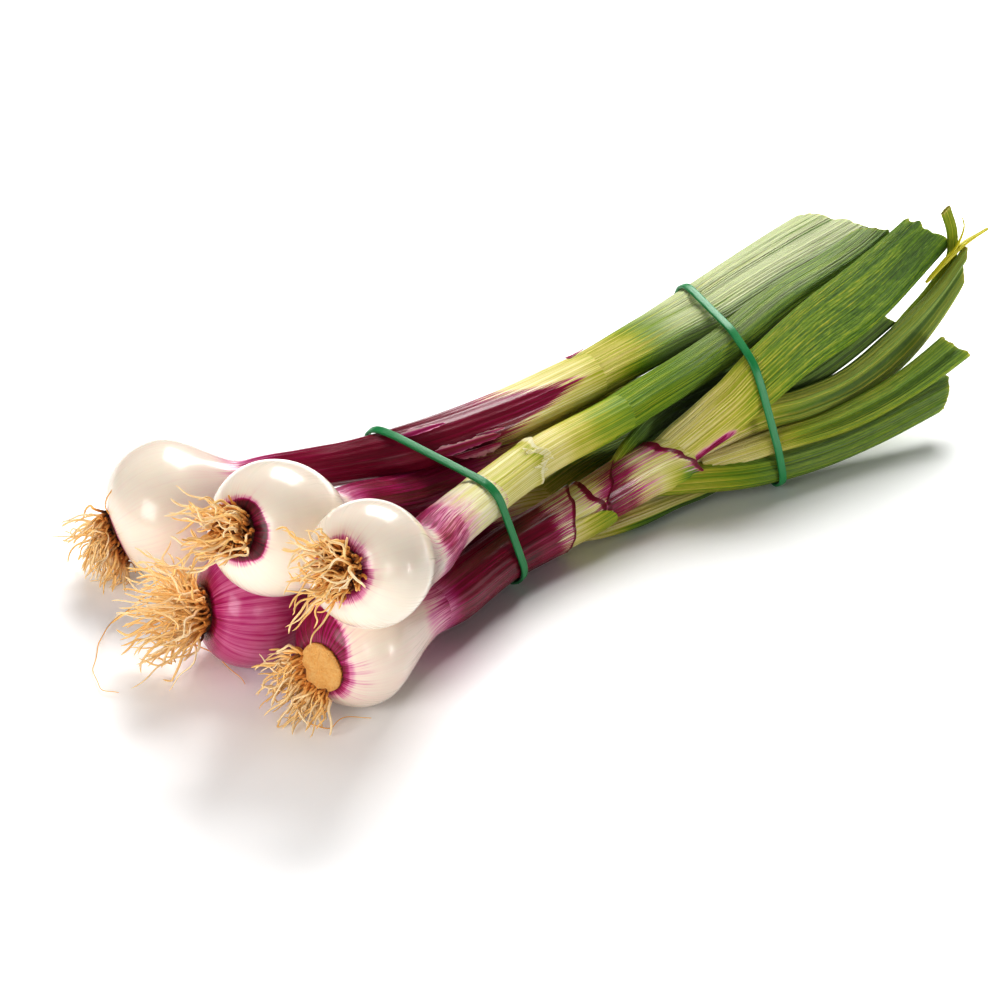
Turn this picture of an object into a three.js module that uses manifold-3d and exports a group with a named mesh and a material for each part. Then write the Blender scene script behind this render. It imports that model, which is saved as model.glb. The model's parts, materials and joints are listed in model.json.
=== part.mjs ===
// A bunch of five fresh red onions lying on a table, tied with two rubber bands.
// Millimetres, +Z up. +X runs along the bunch from the bulbs to the cut leaf tips.
import * as THREE from "three";
import { mergeVertices } from "three/addons/utils/BufferGeometryUtils.js";
import Module from "manifold-3d";

const wasm = await Module();
wasm.setup();

// Driving dimensions, in millimetres
const GAP = 0.3; // clearance kept between pieces that touch
const PLATE_SHARE = 0.34; // root plate radius as a share of the bulb radius
const LEAF_WALL = 1.0; // flesh of a hollow leaf at its cut end
const LEAF_MOUTH = 9; // depth that a cut leaf shows open
const ROOT_RADIUS = 0.65; // a root where it leaves the plate
const ROOT_TIP = 0.4;
const ROOT_FLOOR = 1.6; // no root comes lower than this above the table
const BAND_WIDTH = 3.0;
const BAND_THICKNESS = 1.2;
const BUNCH_CENTRE = [24.1, 9, 0]; // middle of the footprint in the drawing frame

const BULB_SIDES = 16;
const LEAF_SIDES = 10;
const ROOT_SIDES = 3;
const BAND_STEPS = 48;
const UP = [0, 0, 1];
const TO_FRONT = [0, -0.94, 0.335]; // a leaf face that looks forward and up

const COLOURS = {
  whiteBulb: 0xf1e6da,
  redBulb: 0xb04a86,
  leaf: 0x5f8a3a,
  youngLeaf: 0x86ad3c,
  sprout: 0xd6cf2a,
  roots: 0xd9b27a,
  band: 0x2f9b62,
};

// Each onion: the bulb's radius, its lower and upper depth as shares of that, the line through it from the root plate to the end of its neck,
// the neck as [millimetres along the line, half width, half thickness], and the collars where an
// outer sheath ends, as [millimetres along the line, slant, turn in degrees, step].
const ONIONS = {
  onion_1: {
    bulb: 25.6, lower: 0.78, upper: 1.2, colour: "whiteBulb", face: UP,
    line: [[-124.5, 78.5, 17.8], [-107.6, 69.6, 24.6], [-82.5, 54, 35], [-70, 41, 39.5], [-53, 30.5, 41.8],
      [-35, 22.5, 43.6], [0, 17.5, 46], [27.5, 17, 47.8], [42, 17, 49]],
    neck: [[50, 7.2, 7.0], [80, 7.4, 7.2], [112, 9.0, 8.8], [170, 9.6, 8.8], [205, 9.6, 8.4]],
    collars: [[176, 9, 100, 0.9]],
  },
  onion_2: {
    bulb: 22.2, lower: 0.8, upper: 1.6, colour: "whiteBulb", face: UP,
    line: [[-140, -19, 68.5], [-123, -16, 62], [-98, -8, 51], [-75, 6, 39], [-45, 15, 27.5],
      [-20, 17, 26], [20, 15.5, 28], [50, 14, 31]],
    neck: [[58, 9.0, 8.6], [95, 7.6, 7.4], [150, 8.0, 7.4], [215, 8.4, 7.0]],
    collars: [[170, 8, 60, 0.8]],
  },
  onion_3: {
    bulb: 20.6, lower: 0.8, upper: 1.7, colour: "whiteBulb", face: UP,
    line: [[-131, -63, 71], [-116.5, -58, 65], [-90, -48, 53], [-62, -27, 43], [-30, -11, 37.5],
      [0.5, -3.8, 38.6], [30.4, -2, 40.3], [41, -1.5, 41.2]],
    neck: [[53, 10.0, 9.8], [100, 9.0, 8.8], [130, 8.4, 8.2], [200, 8.6, 8.4]],
    collars: [[121, 4, 200, 0.9], [152, 5, 20, 0.6]],
  },
  onion_4: {
    bulb: 20.8, lower: 0.8, upper: 1.6, colour: "redBulb", face: UP,
    line: [[-135.5, 10, 23], [-119.5, 6, 20.4], [-90, 0, 16], [-60, 5, 11.8], [-30, 9, 11.4],
      [0, 9.8, 10.6], [15, 7.5, 9.2]],
    neck: [[54, 9.2, 9.0], [100, 8.6, 8.4], [150, 8.4, 6.8]],
    collars: [[122, 7, 270, 0.8]],
  },
  onion_5: {
    bulb: 20.4, lower: 0.8, upper: 1.8, colour: "redBulb", face: TO_FRONT,
    line: [[-123, -39.5, 20.2], [-107, -36.5, 19.9], [-80, -32, 17.2], [-60, -25, 14], [-25, -14, 12.6],
      [-5.6, -11, 12.4], [11.8, -10, 13.8], [29.2, -10.5, 16.8], [46.4, -12, 20], [63.5, -14, 20.7]],
    neck: [[53, 9.6, 9.4], [95, 8.6, 8.4], [138, 9.6, 8.8], [170, 10.8, 7.6], [196, 12.0, 5.6]],
    collars: [[138, 8, 60, 0.8], [160, 8, 250, 0.7]],
  },
};

// Each tuft of roots: how many, how long, the way the longer ones are combed, and the spread.
const TUFTS = {
  onion_1: { seed: 11, count: 28, long: 17, combed: [-0.3, -0.2, -0.5], spread: 0.7 },
  onion_2: { seed: 23, count: 30, long: 22, combed: [-0.4, 0.4, 0.0], spread: 0.6 },
  onion_3: { seed: 35, count: 32, long: 22, combed: [-0.4, 0.3, -0.25], spread: 0.7 },
  onion_4: { seed: 47, count: 34, long: 26, combed: [-0.3, 0.2, 0.0], spread: 0.95 },
  onion_5: { seed: 59, count: 30, long: 22, combed: [-0.4, 0.15, -0.25], spread: 0.8 },
};

// Each leaf: its line from the neck to the cut tip, the way its flat face looks, and
// [share of its length, half width, half thickness] along it, with the slant of the cut.
const LEAVES = {
  onion_1_leaf_broad: {
    colour: "leaf", face: [0, -0.25, 0.97], slant: 9,
    line: [[42.8, 17, 49.2], [52, 17, 50.5], [67, 16.6, 53], [97, 16, 58.8], [119, 17, 62.8], [147, 19, 66.8], [181, 22.5, 69.6]],
    form: [[0, 9.4, 8.2], [0.2, 10.6, 7.8], [0.4, 12.2, 7.2], [1, 13.0, 4.6]],
  },
  onion_1_leaf_rear: {
    colour: "leaf", face: [0, 0.6, 0.8], slant: 5,
    line: [[52, 28, 44], [97, 31.5, 48], [140, 37, 53], [172, 43, 55]],
    form: [[0, 3.4, 2.4], [0.3, 6.0, 3.2], [1, 7.0, 3.2]],
  },
  onion_2_leaf: {
    colour: "leaf", face: UP, slant: -6,
    line: [[50.9, 14, 31.1], [72, 13.5, 33.5], [97, 13, 36.5], [135, 15, 42], [166, 19, 45]],
    form: [[0, 8.0, 6.6], [0.3, 7.6, 5.4], [1, 9.4, 4.2]],
  },
  onion_3_leaf: {
    colour: "youngLeaf", face: UP, slant: 5,
    line: [[42, -1.4, 41.4], [51, -1, 42.8], [78.6, -2.6, 49.4], [93.3, -4.2, 54.7], [117, -3.8, 62.4], [150, -0.4, 66.4], [163, 1.8, 67.4]],
    form: [[0, 7.2, 7.0], [0.4, 7.4, 7.0], [1, 7.2, 5.4]],
  },
  onion_4_leaf_lower: {
    colour: "youngLeaf", face: UP, slant: 6,
    line: [[17.8, 5.0, 5.2], [27, -4, 3.7], [38, -14.5, 3.8], [52, -18.5, 3.9], [68, -17.5, 3.6], [90, -10, 5.0], [120, 0, 8], [148, 4, 11]],
    form: [[0, 6.4, 2.8], [0.1, 6.0, 2.5], [0.25, 6.8, 4.1], [0.42, 6.6, 2.6], [0.6, 7.0, 3.0], [1, 8.4, 3.4]],
  },
  onion_4_leaf_rear: {
    colour: "leaf", face: UP, slant: -5,
    line: [[17.6, 9.8, 12.4], [45, 14, 12], [97, 18, 14], [130, 24, 18], [158, 31, 21]],
    form: [[0, 6.6, 3.0], [0.3, 8.2, 5.2], [1, 9.0, 4.0]],
  },
  onion_5_leaf_flat: {
    colour: "leaf", face: TO_FRONT, slant: 9,
    line: [[64.5, -11.2, 28.6], [80.5, -14.5, 38.3], [95, -16.5, 45], [117.4, -17, 52.6], [151.5, -15.4, 59.6], [190, -9, 69.4], [202, -6.9, 73.2]],
    form: [[0, 3.6, 4.4], [0.12, 7.0, 4.4], [0.25, 10.4, 4.0], [0.6, 13.0, 3.4], [1, 11.0, 2.8]],
  },
  onion_5_leaf_channel: {
    colour: "youngLeaf", face: TO_FRONT, slant: -7,
    line: [[64.5, -14, 20.7], [81, -18, 25.5], [96.7, -21.6, 28.4], [112.7, -22.5, 27.6], [139, -23, 28.5], [167, -22, 35.9],
      [190.5, -20, 47], [209, -18, 60.5]],
    form: [[0, 3.6, 4.2], [0.2, 4.4, 3.6], [0.4, 5.6, 3.4], [0.65, 7.2, 3.4], [1, 4.6, 2.6]],
  },
  onion_5_leaf_inner: {
    colour: "leaf", face: TO_FRONT, slant: 3,
    line: [[80, -10.2, 27], [98, -14, 29.5], [119, -16, 32], [140, -16.4, 35], [160, -15.5, 39.5]],
    form: [[0, 2.6, 2.2], [0.4, 3.8, 2.4], [1, 4.2, 2.4]],
  },
  onion_5_leaf_grooved: {
    colour: "leaf", face: TO_FRONT, slant: 4,
    line: [[82.5, -22, 18.6], [96, -26.5, 20.6], [122.6, -30, 20.4], [147.5, -32, 23], [167.6, -33.5, 28.2], [188, -35, 35.8]],
    form: [[0, 2.0, 2.2], [0.25, 3.2, 2.8], [0.6, 5.6, 3.2], [1, 7.0, 2.8]],
  },
  onion_5_leaf_low: {
    colour: "leaf", face: TO_FRONT, slant: -4,
    line: [[64.5, -16.8, 13], [82, -22.5, 10.8], [100, -25.5, 9], [123.7, -28.5, 8.6], [147.6, -31.5, 11], [182, -35.4, 17]],
    form: [[0, 3.6, 4.2], [0.15, 5.4, 5.0], [0.4, 6.0, 4.8], [1, 6.2, 4.4]],
  },
  onion_5_leaf_back: {
    colour: "leaf", face: [0, -1, 0.2], slant: 2,
    line: [[20, 1.6, 21.5], [43, 1.0, 27.3], [64, 1.5, 31], [84, 1.5, 32.6], [104, 1.5, 33]],
    form: [[0, 2.2, 1.5], [0.3, 3.8, 2.0], [1, 4.0, 1.8]],
  },
  onion_5_leaf_stub: {
    colour: "youngLeaf", face: TO_FRONT, slant: 2, mouth: 3,
    line: [[6, -20.9, 12.6], [14, -20.9, 13.6], [23, -21.1, 15.4]],
    form: [[0, 4.2, 1.2], [1, 4.4, 1.6]],
  },
  onion_5_leaf_strap: {
    colour: "youngLeaf", face: [-0.56, -0.66, 0.5], slant: 1, mouth: 0,
    line: [[164, -15.5, 34], [178, -13.6, 40.5], [192.4, -13, 48.1], [202.4, -13.4, 58.2], [204.4, -14.6, 69], [199, -16, 82]],
    form: [[0, 1.6, 0.7], [1, 2.2, 0.6]],
  },
  onion_5_sprout: {
    colour: "sprout", face: UP, slant: 0, mouth: 0,
    line: [[162, -18, 42.6], [173, -16.8, 47], [188, -16, 55.4], [204, -16.4, 64.4], [218, -17.6, 68.4]],
    form: [[0, 0.9, 0.9], [1, 0.6, 0.6]],
  },
};

// The bands: a point of the plane each lies in and the plane's normal.
const BANDS = {
  rubber_band_lower: { point: [-33.5, 5, 25], normal: [0.94, 0.16, 0.29] },
  rubber_band_upper: { point: [96, -2, 38], normal: [0.96, -0.2, 0.2] },
};

const asVector = (p) => new THREE.Vector3(p[0], p[1], p[2]);

function curveThrough(points) {
  return new THREE.CatmullRomCurve3(points.map(asVector), false, "centripetal");
}

// A value read off a list of [place, value, value, ...] rows by smooth steps between them
function readRow(rows, place, column) {
  if (place <= rows[0][0]) return rows[0][column];
  for (let i = 1; i < rows.length; i += 1) {
    if (place <= rows[i][0]) {
      const t = (place - rows[i - 1][0]) / (rows[i][0] - rows[i - 1][0]);
      const s = t * t * (3 - 2 * t);
      return rows[i - 1][column] + (rows[i][column] - rows[i - 1][column]) * s;
    }
  }
  return rows[rows.length - 1][column];
}

// Small repeatable random numbers between 0 and 1
function seeded(seed) {
  let state = seed * 2654435761 % 4294967296;
  return () => {
    state = (state * 1664525 + 1013904223) % 4294967296;
    return state / 4294967296;
  };
}

// Rings laid along a curve. A ring is {at, wide, thick, slant, turn}: millimetres along the curve,
// half width, half thickness and how far the ring leans along the curve.
function sweep(rings, curve, face, sides) {
  const body = new THREE.LatheGeometry(rings.map((r) => new THREE.Vector2(r.wide, r.at)), sides);
  const spots = body.getAttribute("position");
  const length = curve.getLength();
  const facing = asVector(face).normalize();
  for (let i = 0; i < spots.count; i += 1) {
    const ring = rings[i % rings.length];
    const angle = (2 * Math.PI * (Math.floor(i / rings.length) % sides)) / sides;
    const u = THREE.MathUtils.clamp(ring.at / length, 0, 1);
    const along = curve.getTangentAt(u);
    const across = new THREE.Vector3().crossVectors(along, facing).normalize();
    const thin = new THREE.Vector3().crossVectors(across, along).normalize();
    const lean = (ring.slant || 0) * Math.cos(angle - (ring.turn || 0));
    const spot = curve.getPointAt(u)
      .addScaledVector(across, ring.wide * Math.sin(angle))
      .addScaledVector(thin, ring.thick * Math.cos(angle))
      .addScaledVector(along, lean);
    spots.setXYZ(i, spot.x, spot.y, spot.z);
  }
  return body;
}

function toSolid(geometry) {
  const plain = geometry.clone();
  plain.deleteAttribute("normal");
  plain.deleteAttribute("uv");
  const merged = mergeVertices(plain, 1e-4);
  const corners = [];
  const index = merged.index.array;
  for (let i = 0; i < index.length; i += 3) {
    const [a, b, c] = [index[i], index[i + 1], index[i + 2]];
    if (a !== b && b !== c && c !== a) corners.push(a, b, c);
  }
  return new wasm.Manifold(new wasm.Mesh({
    numProp: 3,
    vertProperties: new Float32Array(merged.getAttribute("position").array),
    triVerts: new Uint32Array(corners),
  }));
}

function toGeometry(solid) {
  const mesh = solid.getMesh();
  const geometry = new THREE.BufferGeometry();
  const spots = new Float32Array(mesh.numVert * 3);
  for (let i = 0; i < mesh.numVert; i += 1) {
    for (let k = 0; k < 3; k += 1) spots[i * 3 + k] = mesh.vertProperties[i * mesh.numProp + k];
  }
  geometry.setAttribute("position", new THREE.BufferAttribute(spots, 3));
  geometry.setIndex(new THREE.BufferAttribute(new Uint32Array(mesh.triVerts), 1));
  return geometry;
}

// Half width of a bulb at a distance along its line: a quarter ellipse from the root plate to the
// equator, then a smooth shoulder down to the neck
function bulbRadius(onion, neckRadius, at) {
  const bulb = onion.bulb;
  const lower = onion.lower * bulb;
  const plate = PLATE_SHARE * bulb;
  if (at < lower) {
    const t = 1 - at / lower;
    return plate + (bulb - plate) * Math.sqrt(Math.max(0, 1 - t * t));
  }
  const t = Math.min(1, (at - lower) / (onion.upper * bulb));
  return neckRadius + (bulb - neckRadius) * 0.5 * (1 + Math.cos(Math.PI * Math.pow(t, 0.86)));
}

function onionRings(onion, length) {
  const top = (onion.lower + onion.upper) * onion.bulb;
  const places = [0.012, 0.06, 0.17, 0.37, 0.68, 1].map((s) => s * onion.lower * onion.bulb);
  for (const s of [0.15, 0.3, 0.46, 0.64, 0.82, 1]) places.push((onion.lower + s * onion.upper) * onion.bulb);
  for (let i = 1; i <= 9; i += 1) places.push(top + ((length - top) * i) / 9);
  return places.map((at) => {
    const wide = readRow(onion.neck, at, 1);
    const thick = readRow(onion.neck, at, 2);
    if (at > top) return { at, wide, thick };
    return { at, wide: bulbRadius(onion, wide, at), thick: bulbRadius(onion, thick, at) };
  });
}

// A bulb with its neck: the innermost sheath runs the whole length and each outer one, a step
// thicker, stops at its slanting collar
function onionBody(onion) {
  const curve = curveThrough(onion.line);
  const length = curve.getLength();
  const inner = onion.collars.reduce((sum, c) => sum + c[3], 0);
  const layers = onion.collars.map((c, i) => ({ end: c[0], slant: c[1], turn: THREE.MathUtils.degToRad(c[2]),
    less: onion.collars.slice(0, i).reduce((sum, d) => sum + d[3], 0) }));
  layers.push({ end: length, slant: 0, turn: 0, less: inner });
  const bodies = layers.map((layer, i) => {
    const all = onionRings(onion, length).map((r) => ({ ...r, wide: r.wide - layer.less, thick: r.thick - layer.less }));
    const from = i === 0 ? 0 : layers[i - 1].end - 26;
    const kept = all.filter((r) => r.at >= from && r.at < layer.end - Math.abs(layer.slant) - 1);
    const wide = readRow(onion.neck, layer.end, 1) - layer.less;
    const thick = readRow(onion.neck, layer.end, 2) - layer.less;
    kept.push({ at: layer.end, wide, thick, slant: layer.slant, turn: layer.turn });
    kept.unshift({ at: kept[0].at, wide: 0, thick: 0 });
    kept.push({ at: layer.end, wide: 0, thick: 0 });
    return toSolid(sweep(kept, curve, onion.face, BULB_SIDES));
  });
  return wasm.Manifold.union(bodies);
}

// A flattened leaf, hollow where it was cut
function leafBody(leaf) {
  const curve = curveThrough(leaf.line);
  const length = curve.getLength();
  const steps = 7;
  const rings = [{ at: 0, wide: 0, thick: 0 }];
  const last = length - Math.abs(leaf.slant);
  for (let i = 0; i <= steps; i += 1) {
    const at = (last * i) / steps;
    rings.push({ at, wide: readRow(leaf.form, at / length, 1), thick: readRow(leaf.form, at / length, 2) });
  }
  const lip = rings[rings.length - 1];
  const turn = Math.PI / 2;
  lip.slant = leaf.slant;
  lip.turn = turn;
  const mouth = leaf.mouth === undefined ? LEAF_MOUTH : leaf.mouth;
  if (mouth > 0) {
    const wall = Math.min(LEAF_WALL, lip.thick - 0.6);
    rings.push({ at: last, wide: lip.wide - wall, thick: lip.thick - wall, slant: leaf.slant, turn });
    rings.push({ at: last - mouth, wide: lip.wide - 2 * wall, thick: lip.thick - 1.3 * wall });
  }
  rings.push({ at: last - mouth, wide: 0, thick: 0 });
  return toSolid(sweep(rings, curve, leaf.face, LEAF_SIDES));
}

// The centre of each bulb and the radius that roots keep clear of
const GUARDS = Object.entries(ONIONS).map(([name, onion]) => ({ name, centre: asVector(onion.line[1]), radius: onion.bulb + 1.6 }));

function keepClear(spot, own) {
  for (let pass = 0; pass < 4; pass += 1) {
    for (const guard of GUARDS) {
      if (guard.name === own) continue;
      const away = spot.clone().sub(guard.centre);
      if (away.length() < guard.radius) spot.copy(guard.centre).addScaledVector(away.normalize(), guard.radius);
    }
  }
  spot.z = Math.max(spot.z, ROOT_FLOOR);
  return spot;
}

// A tuft: a low button on the root plate and bent roots, all fused
function tuftBody(name) {
  const onion = ONIONS[name];
  const tuft = TUFTS[name];
  const random = seeded(tuft.seed);
  const curve = curveThrough(onion.line);
  const out = curve.getTangentAt(0).negate();
  const side = new THREE.Vector3().crossVectors(out, new THREE.Vector3(0, 0, 1)).normalize();
  const rise = new THREE.Vector3().crossVectors(side, out).normalize();
  const centre = curve.getPointAt(0);
  const plate = PLATE_SHARE * onion.bulb;
  const button = new THREE.LatheGeometry([[0, GAP], [plate - 0.2, GAP], [plate - 0.6, 1.3], [plate * 0.6, 2.4], [0, 2.8]]
    .map((p) => new THREE.Vector2(p[0], p[1])), 12);
  const turn = new THREE.Quaternion().setFromUnitVectors(new THREE.Vector3(0, 1, 0), out);
  button.applyQuaternion(turn);
  button.translate(centre.x, centre.y, centre.z);
  const bodies = [toSolid(button)];
  const combed = asVector(tuft.combed);
  for (let i = 0; i < tuft.count; i += 1) {
    const angle = i * 2.39996 + random() * 0.5;
    const reach = plate * 0.82 * Math.sqrt((i + 0.5) / tuft.count);
    const outward = side.clone().multiplyScalar(Math.cos(angle)).addScaledVector(rise, Math.sin(angle));
    const start = centre.clone().addScaledVector(outward, reach).addScaledVector(out, 1.0);
    const length = tuft.long * (0.45 + 0.75 * random());
    const heading = out.clone().addScaledVector(outward, tuft.spread * (0.3 + reach / plate))
      .addScaledVector(combed, 0.4 + 0.8 * random()).normalize();
    const bend = new THREE.Vector3(random() - 0.5, random() - 0.5, random() - 0.6).multiplyScalar(length * 0.5);
    const spots = [start];
    for (let k = 1; k <= 3; k += 1) {
      const t = k / 3;
      const spot = start.clone().addScaledVector(out, 2.2 * Math.min(1, 2 * t))
        .addScaledVector(heading, length * t).addScaledVector(bend, t * t);
      spots.push(keepClear(spot, name));
    }
    const line = new THREE.CatmullRomCurve3(spots, false, "centripetal");
    const whole = line.getLength();
    const rings = [{ at: 0, wide: 0, thick: 0 }];
    for (let k = 0; k <= 3; k += 1) {
      const radius = ROOT_RADIUS + (ROOT_TIP - ROOT_RADIUS) * (k / 3);
      rings.push({ at: (whole * k) / 3, wide: radius, thick: radius });
    }
    rings.push({ at: whole, wide: 0, thick: 0 });
    bodies.push(toSolid(sweep(rings, line, [0.3, 0.5, 0.81], ROOT_SIDES)));
  }
  return wasm.Manifold.union(bodies);
}

// Where a plane cuts a set of triangles, as points in the plane's own two axes
function sliceSpots(geometries, point, normal, first, second) {
  const spots = [];
  for (const geometry of geometries) {
    const position = geometry.getAttribute("position");
    const index = geometry.index.array;
    const height = (i) => (position.getX(i) - point.x) * normal.x + (position.getY(i) - point.y) * normal.y
      + (position.getZ(i) - point.z) * normal.z;
    for (let i = 0; i < index.length; i += 3) {
      for (let k = 0; k < 3; k += 1) {
        const [a, b] = [index[i + k], index[i + (k + 1) % 3]];
        const [ha, hb] = [height(a), height(b)];
        if (ha < 0 === hb < 0) continue;
        const t = ha / (ha - hb);
        const spot = new THREE.Vector3().fromBufferAttribute(position, a)
          .lerp(new THREE.Vector3().fromBufferAttribute(position, b), t).sub(point);
        spots.push([spot.dot(first), spot.dot(second)]);
      }
    }
  }
  return spots;
}

// A flat rubber band stretched round everything that passes through its plane
function bandBody(band, geometries) {
  const normal = asVector(band.normal).normalize();
  const first = new THREE.Vector3().crossVectors(new THREE.Vector3(0, 0, 1), normal).normalize();
  const second = new THREE.Vector3().crossVectors(normal, first);
  const point = asVector(band.point);
  const spots = [];
  for (const offset of [-0.5, 0, 0.5]) {
    const at = point.clone().addScaledVector(normal, offset * (BAND_WIDTH + 0.4));
    spots.push(...sliceSpots(geometries, at, normal, first, second));
  }
  const loop = new THREE.TorusGeometry(10, 1, 4, BAND_STEPS);
  const position = loop.getAttribute("position");
  const stride = BAND_STEPS + 1;
  for (let i = 0; i < position.count; i += 1) {
    const step = (i % stride) % BAND_STEPS;
    const corner = Math.floor(i / stride) % 4;
    const angle = (2 * Math.PI * step) / BAND_STEPS;
    const [c, s] = [Math.cos(angle), Math.sin(angle)];
    let best = spots[0];
    for (const spot of spots) {
      if (spot[0] * c + spot[1] * s > best[0] * c + best[1] * s) best = spot;
    }
    const outer = corner === 0 || corner === 3;
    const upper = corner < 2;
    const reach = GAP + (outer ? BAND_THICKNESS : 0);
    const place = point.clone()
      .addScaledVector(first, best[0] + reach * c)
      .addScaledVector(second, best[1] + reach * s)
      .addScaledVector(normal, (upper ? 0.5 : -0.5) * BAND_WIDTH);
    position.setXYZ(i, place.x, place.y, place.z);
  }
  return toSolid(loop);
}

const group = new THREE.Group();
group.name = "red_onion_bunch";

// Everything is trimmed at the table, which leaves the small flat spots it rests on
const tableBox = new THREE.BoxGeometry(600, 400, 60);
tableBox.translate(0, 0, -30);
const table = toSolid(tableBox);

function addPiece(name, solid, colour) {
  const geometry = toGeometry(solid.subtract(table));
  geometry.translate(-BUNCH_CENTRE[0], -BUNCH_CENTRE[1], -BUNCH_CENTRE[2]);
  const material = new THREE.MeshStandardMaterial({ color: COLOURS[colour], roughness: 0.5, metalness: 0 });
  const mesh = new THREE.Mesh(geometry, material);
  mesh.name = name;
  group.add(mesh);
}

const bound = [];
for (const [name, onion] of Object.entries(ONIONS)) {
  const solid = onionBody(onion);
  bound.push(toGeometry(solid));
  addPiece(`${name}_bulb`, solid, onion.colour);
  addPiece(`${name}_roots`, tuftBody(name), "roots");
}
for (const [name, leaf] of Object.entries(LEAVES)) {
  const solid = leafBody(leaf);
  bound.push(toGeometry(solid));
  addPiece(name, solid, leaf.colour);
}
for (const [name, band] of Object.entries(BANDS)) addPiece(name, bandBody(band, bound), "band");

export default group;
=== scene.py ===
# A bunch of fresh red onions on a white table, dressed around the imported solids.
# Lengths are in millimetres in the drawing frame and become metres in the row frame at the mesh.
import json
import math

import bpy
import numpy as np
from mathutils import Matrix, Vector

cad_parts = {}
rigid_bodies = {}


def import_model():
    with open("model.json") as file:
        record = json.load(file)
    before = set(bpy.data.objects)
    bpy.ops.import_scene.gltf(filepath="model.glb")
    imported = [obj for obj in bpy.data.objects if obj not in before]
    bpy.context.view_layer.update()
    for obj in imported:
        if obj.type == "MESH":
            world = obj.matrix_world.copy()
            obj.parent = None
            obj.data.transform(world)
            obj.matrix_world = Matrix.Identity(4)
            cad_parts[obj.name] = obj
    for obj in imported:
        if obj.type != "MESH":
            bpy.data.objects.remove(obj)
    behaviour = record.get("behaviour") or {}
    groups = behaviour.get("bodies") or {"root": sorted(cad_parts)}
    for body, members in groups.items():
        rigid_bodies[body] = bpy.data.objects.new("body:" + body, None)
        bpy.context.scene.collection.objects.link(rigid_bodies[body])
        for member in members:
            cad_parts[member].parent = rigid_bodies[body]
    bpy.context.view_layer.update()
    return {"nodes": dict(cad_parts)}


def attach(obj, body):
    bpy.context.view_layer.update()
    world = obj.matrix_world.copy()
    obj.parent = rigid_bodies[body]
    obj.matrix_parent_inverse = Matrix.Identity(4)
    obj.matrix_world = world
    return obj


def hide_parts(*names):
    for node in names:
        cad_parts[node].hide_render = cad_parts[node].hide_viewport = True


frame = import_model()
print("frame loaded:", len(frame["nodes"]), "nodes")

bunchCentre = np.array([24.1, 9.0, 0.0])   # middle of the footprint in the drawing frame
millimetre = 0.001
up = (0.0, 0.0, 1.0)
toFront = (0.0, -0.94, 0.335)   # a leaf face that looks forward and up
plateShare = 0.34   # root plate radius as a share of the bulb radius


# a hexadecimal screen colour as linear red, green, blue
def tint(code):
    part = np.array([int(code[i:i + 2], 16) for i in (0, 2, 4)]) / 255.0
    return tuple(np.where(part <= 0.04045, part / 12.92, ((part + 0.055) / 1.055) ** 2.4)) + (1.0,)


# smooth step from 0 at low to 1 at high
def ease(low, high, value):
    t = np.clip((value - low) / (high - low), 0.0, 1.0)
    return t * t * (3.0 - 2.0 * t)


# columns of [place, value, value, ...] rows read at any place by smooth steps between rows
def readRows(rows, place, column):
    rows = np.asarray(rows, float)
    index = np.clip(np.searchsorted(rows[:, 0], place, side="right") - 1, 0, len(rows) - 2)
    low, high = rows[index], rows[index + 1]
    t = ease(0.0, 1.0, (place - low[..., 0]) / (high[..., 0] - low[..., 0]))
    return low[..., column] + (high[..., column] - low[..., column]) * t


# gentle wandering of period one turn: a seeded sum of sines over the angle and the length
def wander(seed, turn, along, waves=5, roughness=1.0):
    draw = np.random.default_rng(seed)
    total = 0.0
    for k in range(1, waves + 1):
        phase = draw.uniform(0.0, 2.0 * math.pi, 2)
        pitch = draw.uniform(0.01, 0.05) * k
        total = total + np.sin(k * turn + phase[0] + np.sin(along * pitch + phase[1])) / k ** roughness
    return total


# a line through given points: centripetal Catmull-Rom pieces, read by length along it
class Line:
    def __init__(self, points):
        knot = np.asarray(points, float)
        knot = np.vstack([2 * knot[0] - knot[1], knot, 2 * knot[-1] - knot[-2]])
        gap = np.linalg.norm(np.diff(knot, axis=0), axis=1) ** 0.5
        t = np.linspace(0.0, 1.0, 60, endpoint=False)[:, None]
        spots = []
        for i in range(1, len(knot) - 2):
            a, b, c, d = knot[i - 1:i + 3]
            start = ((b - a) / gap[i - 1] - (c - a) / (gap[i - 1] + gap[i]) + (c - b) / gap[i]) * gap[i]
            finish = ((c - b) / gap[i] - (d - b) / (gap[i] + gap[i + 1]) + (d - c) / gap[i + 1]) * gap[i]
            cube = 2 * b - 2 * c + start + finish
            square = -3 * b + 3 * c - 2 * start - finish
            spots.append(b + start * t + square * t ** 2 + cube * t ** 3)
        spots.append(knot[-2][None])
        self.spots = np.vstack(spots)
        step = np.linalg.norm(np.diff(self.spots, axis=0), axis=1)
        self.lengths = np.concatenate([[0.0], np.cumsum(step)])
        self.total = self.lengths[-1]
        self.heading = np.gradient(self.spots, axis=0)
        self.heading /= np.linalg.norm(self.heading, axis=1)[:, None]

    def read(self, table, along):
        inside = np.clip(along, 0.0, self.total)
        return np.stack([np.interp(inside, self.lengths, table[:, k]) for k in range(3)], axis=-1)

    # spot and heading at each length; past the ends the line runs on straight
    def at(self, along):
        heading = self.read(self.heading, along)
        heading = heading / np.linalg.norm(heading, axis=-1, keepdims=True)
        beyond = along - np.clip(along, 0.0, self.total)
        return self.read(self.spots, along) + heading * beyond[..., None], heading


# rings along a line: spot + across * wide * sin(turn) + thin * thick * cos(turn)
def swept(line, face, along, turn, wide, thick):
    spot, heading = line.at(along)
    across = np.cross(heading, np.asarray(face, float))
    across /= np.linalg.norm(across, axis=-1, keepdims=True)
    thin = np.cross(across, heading)
    return spot + across * (wide * np.sin(turn))[..., None] + thin * (thick * np.cos(turn))[..., None]


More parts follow.
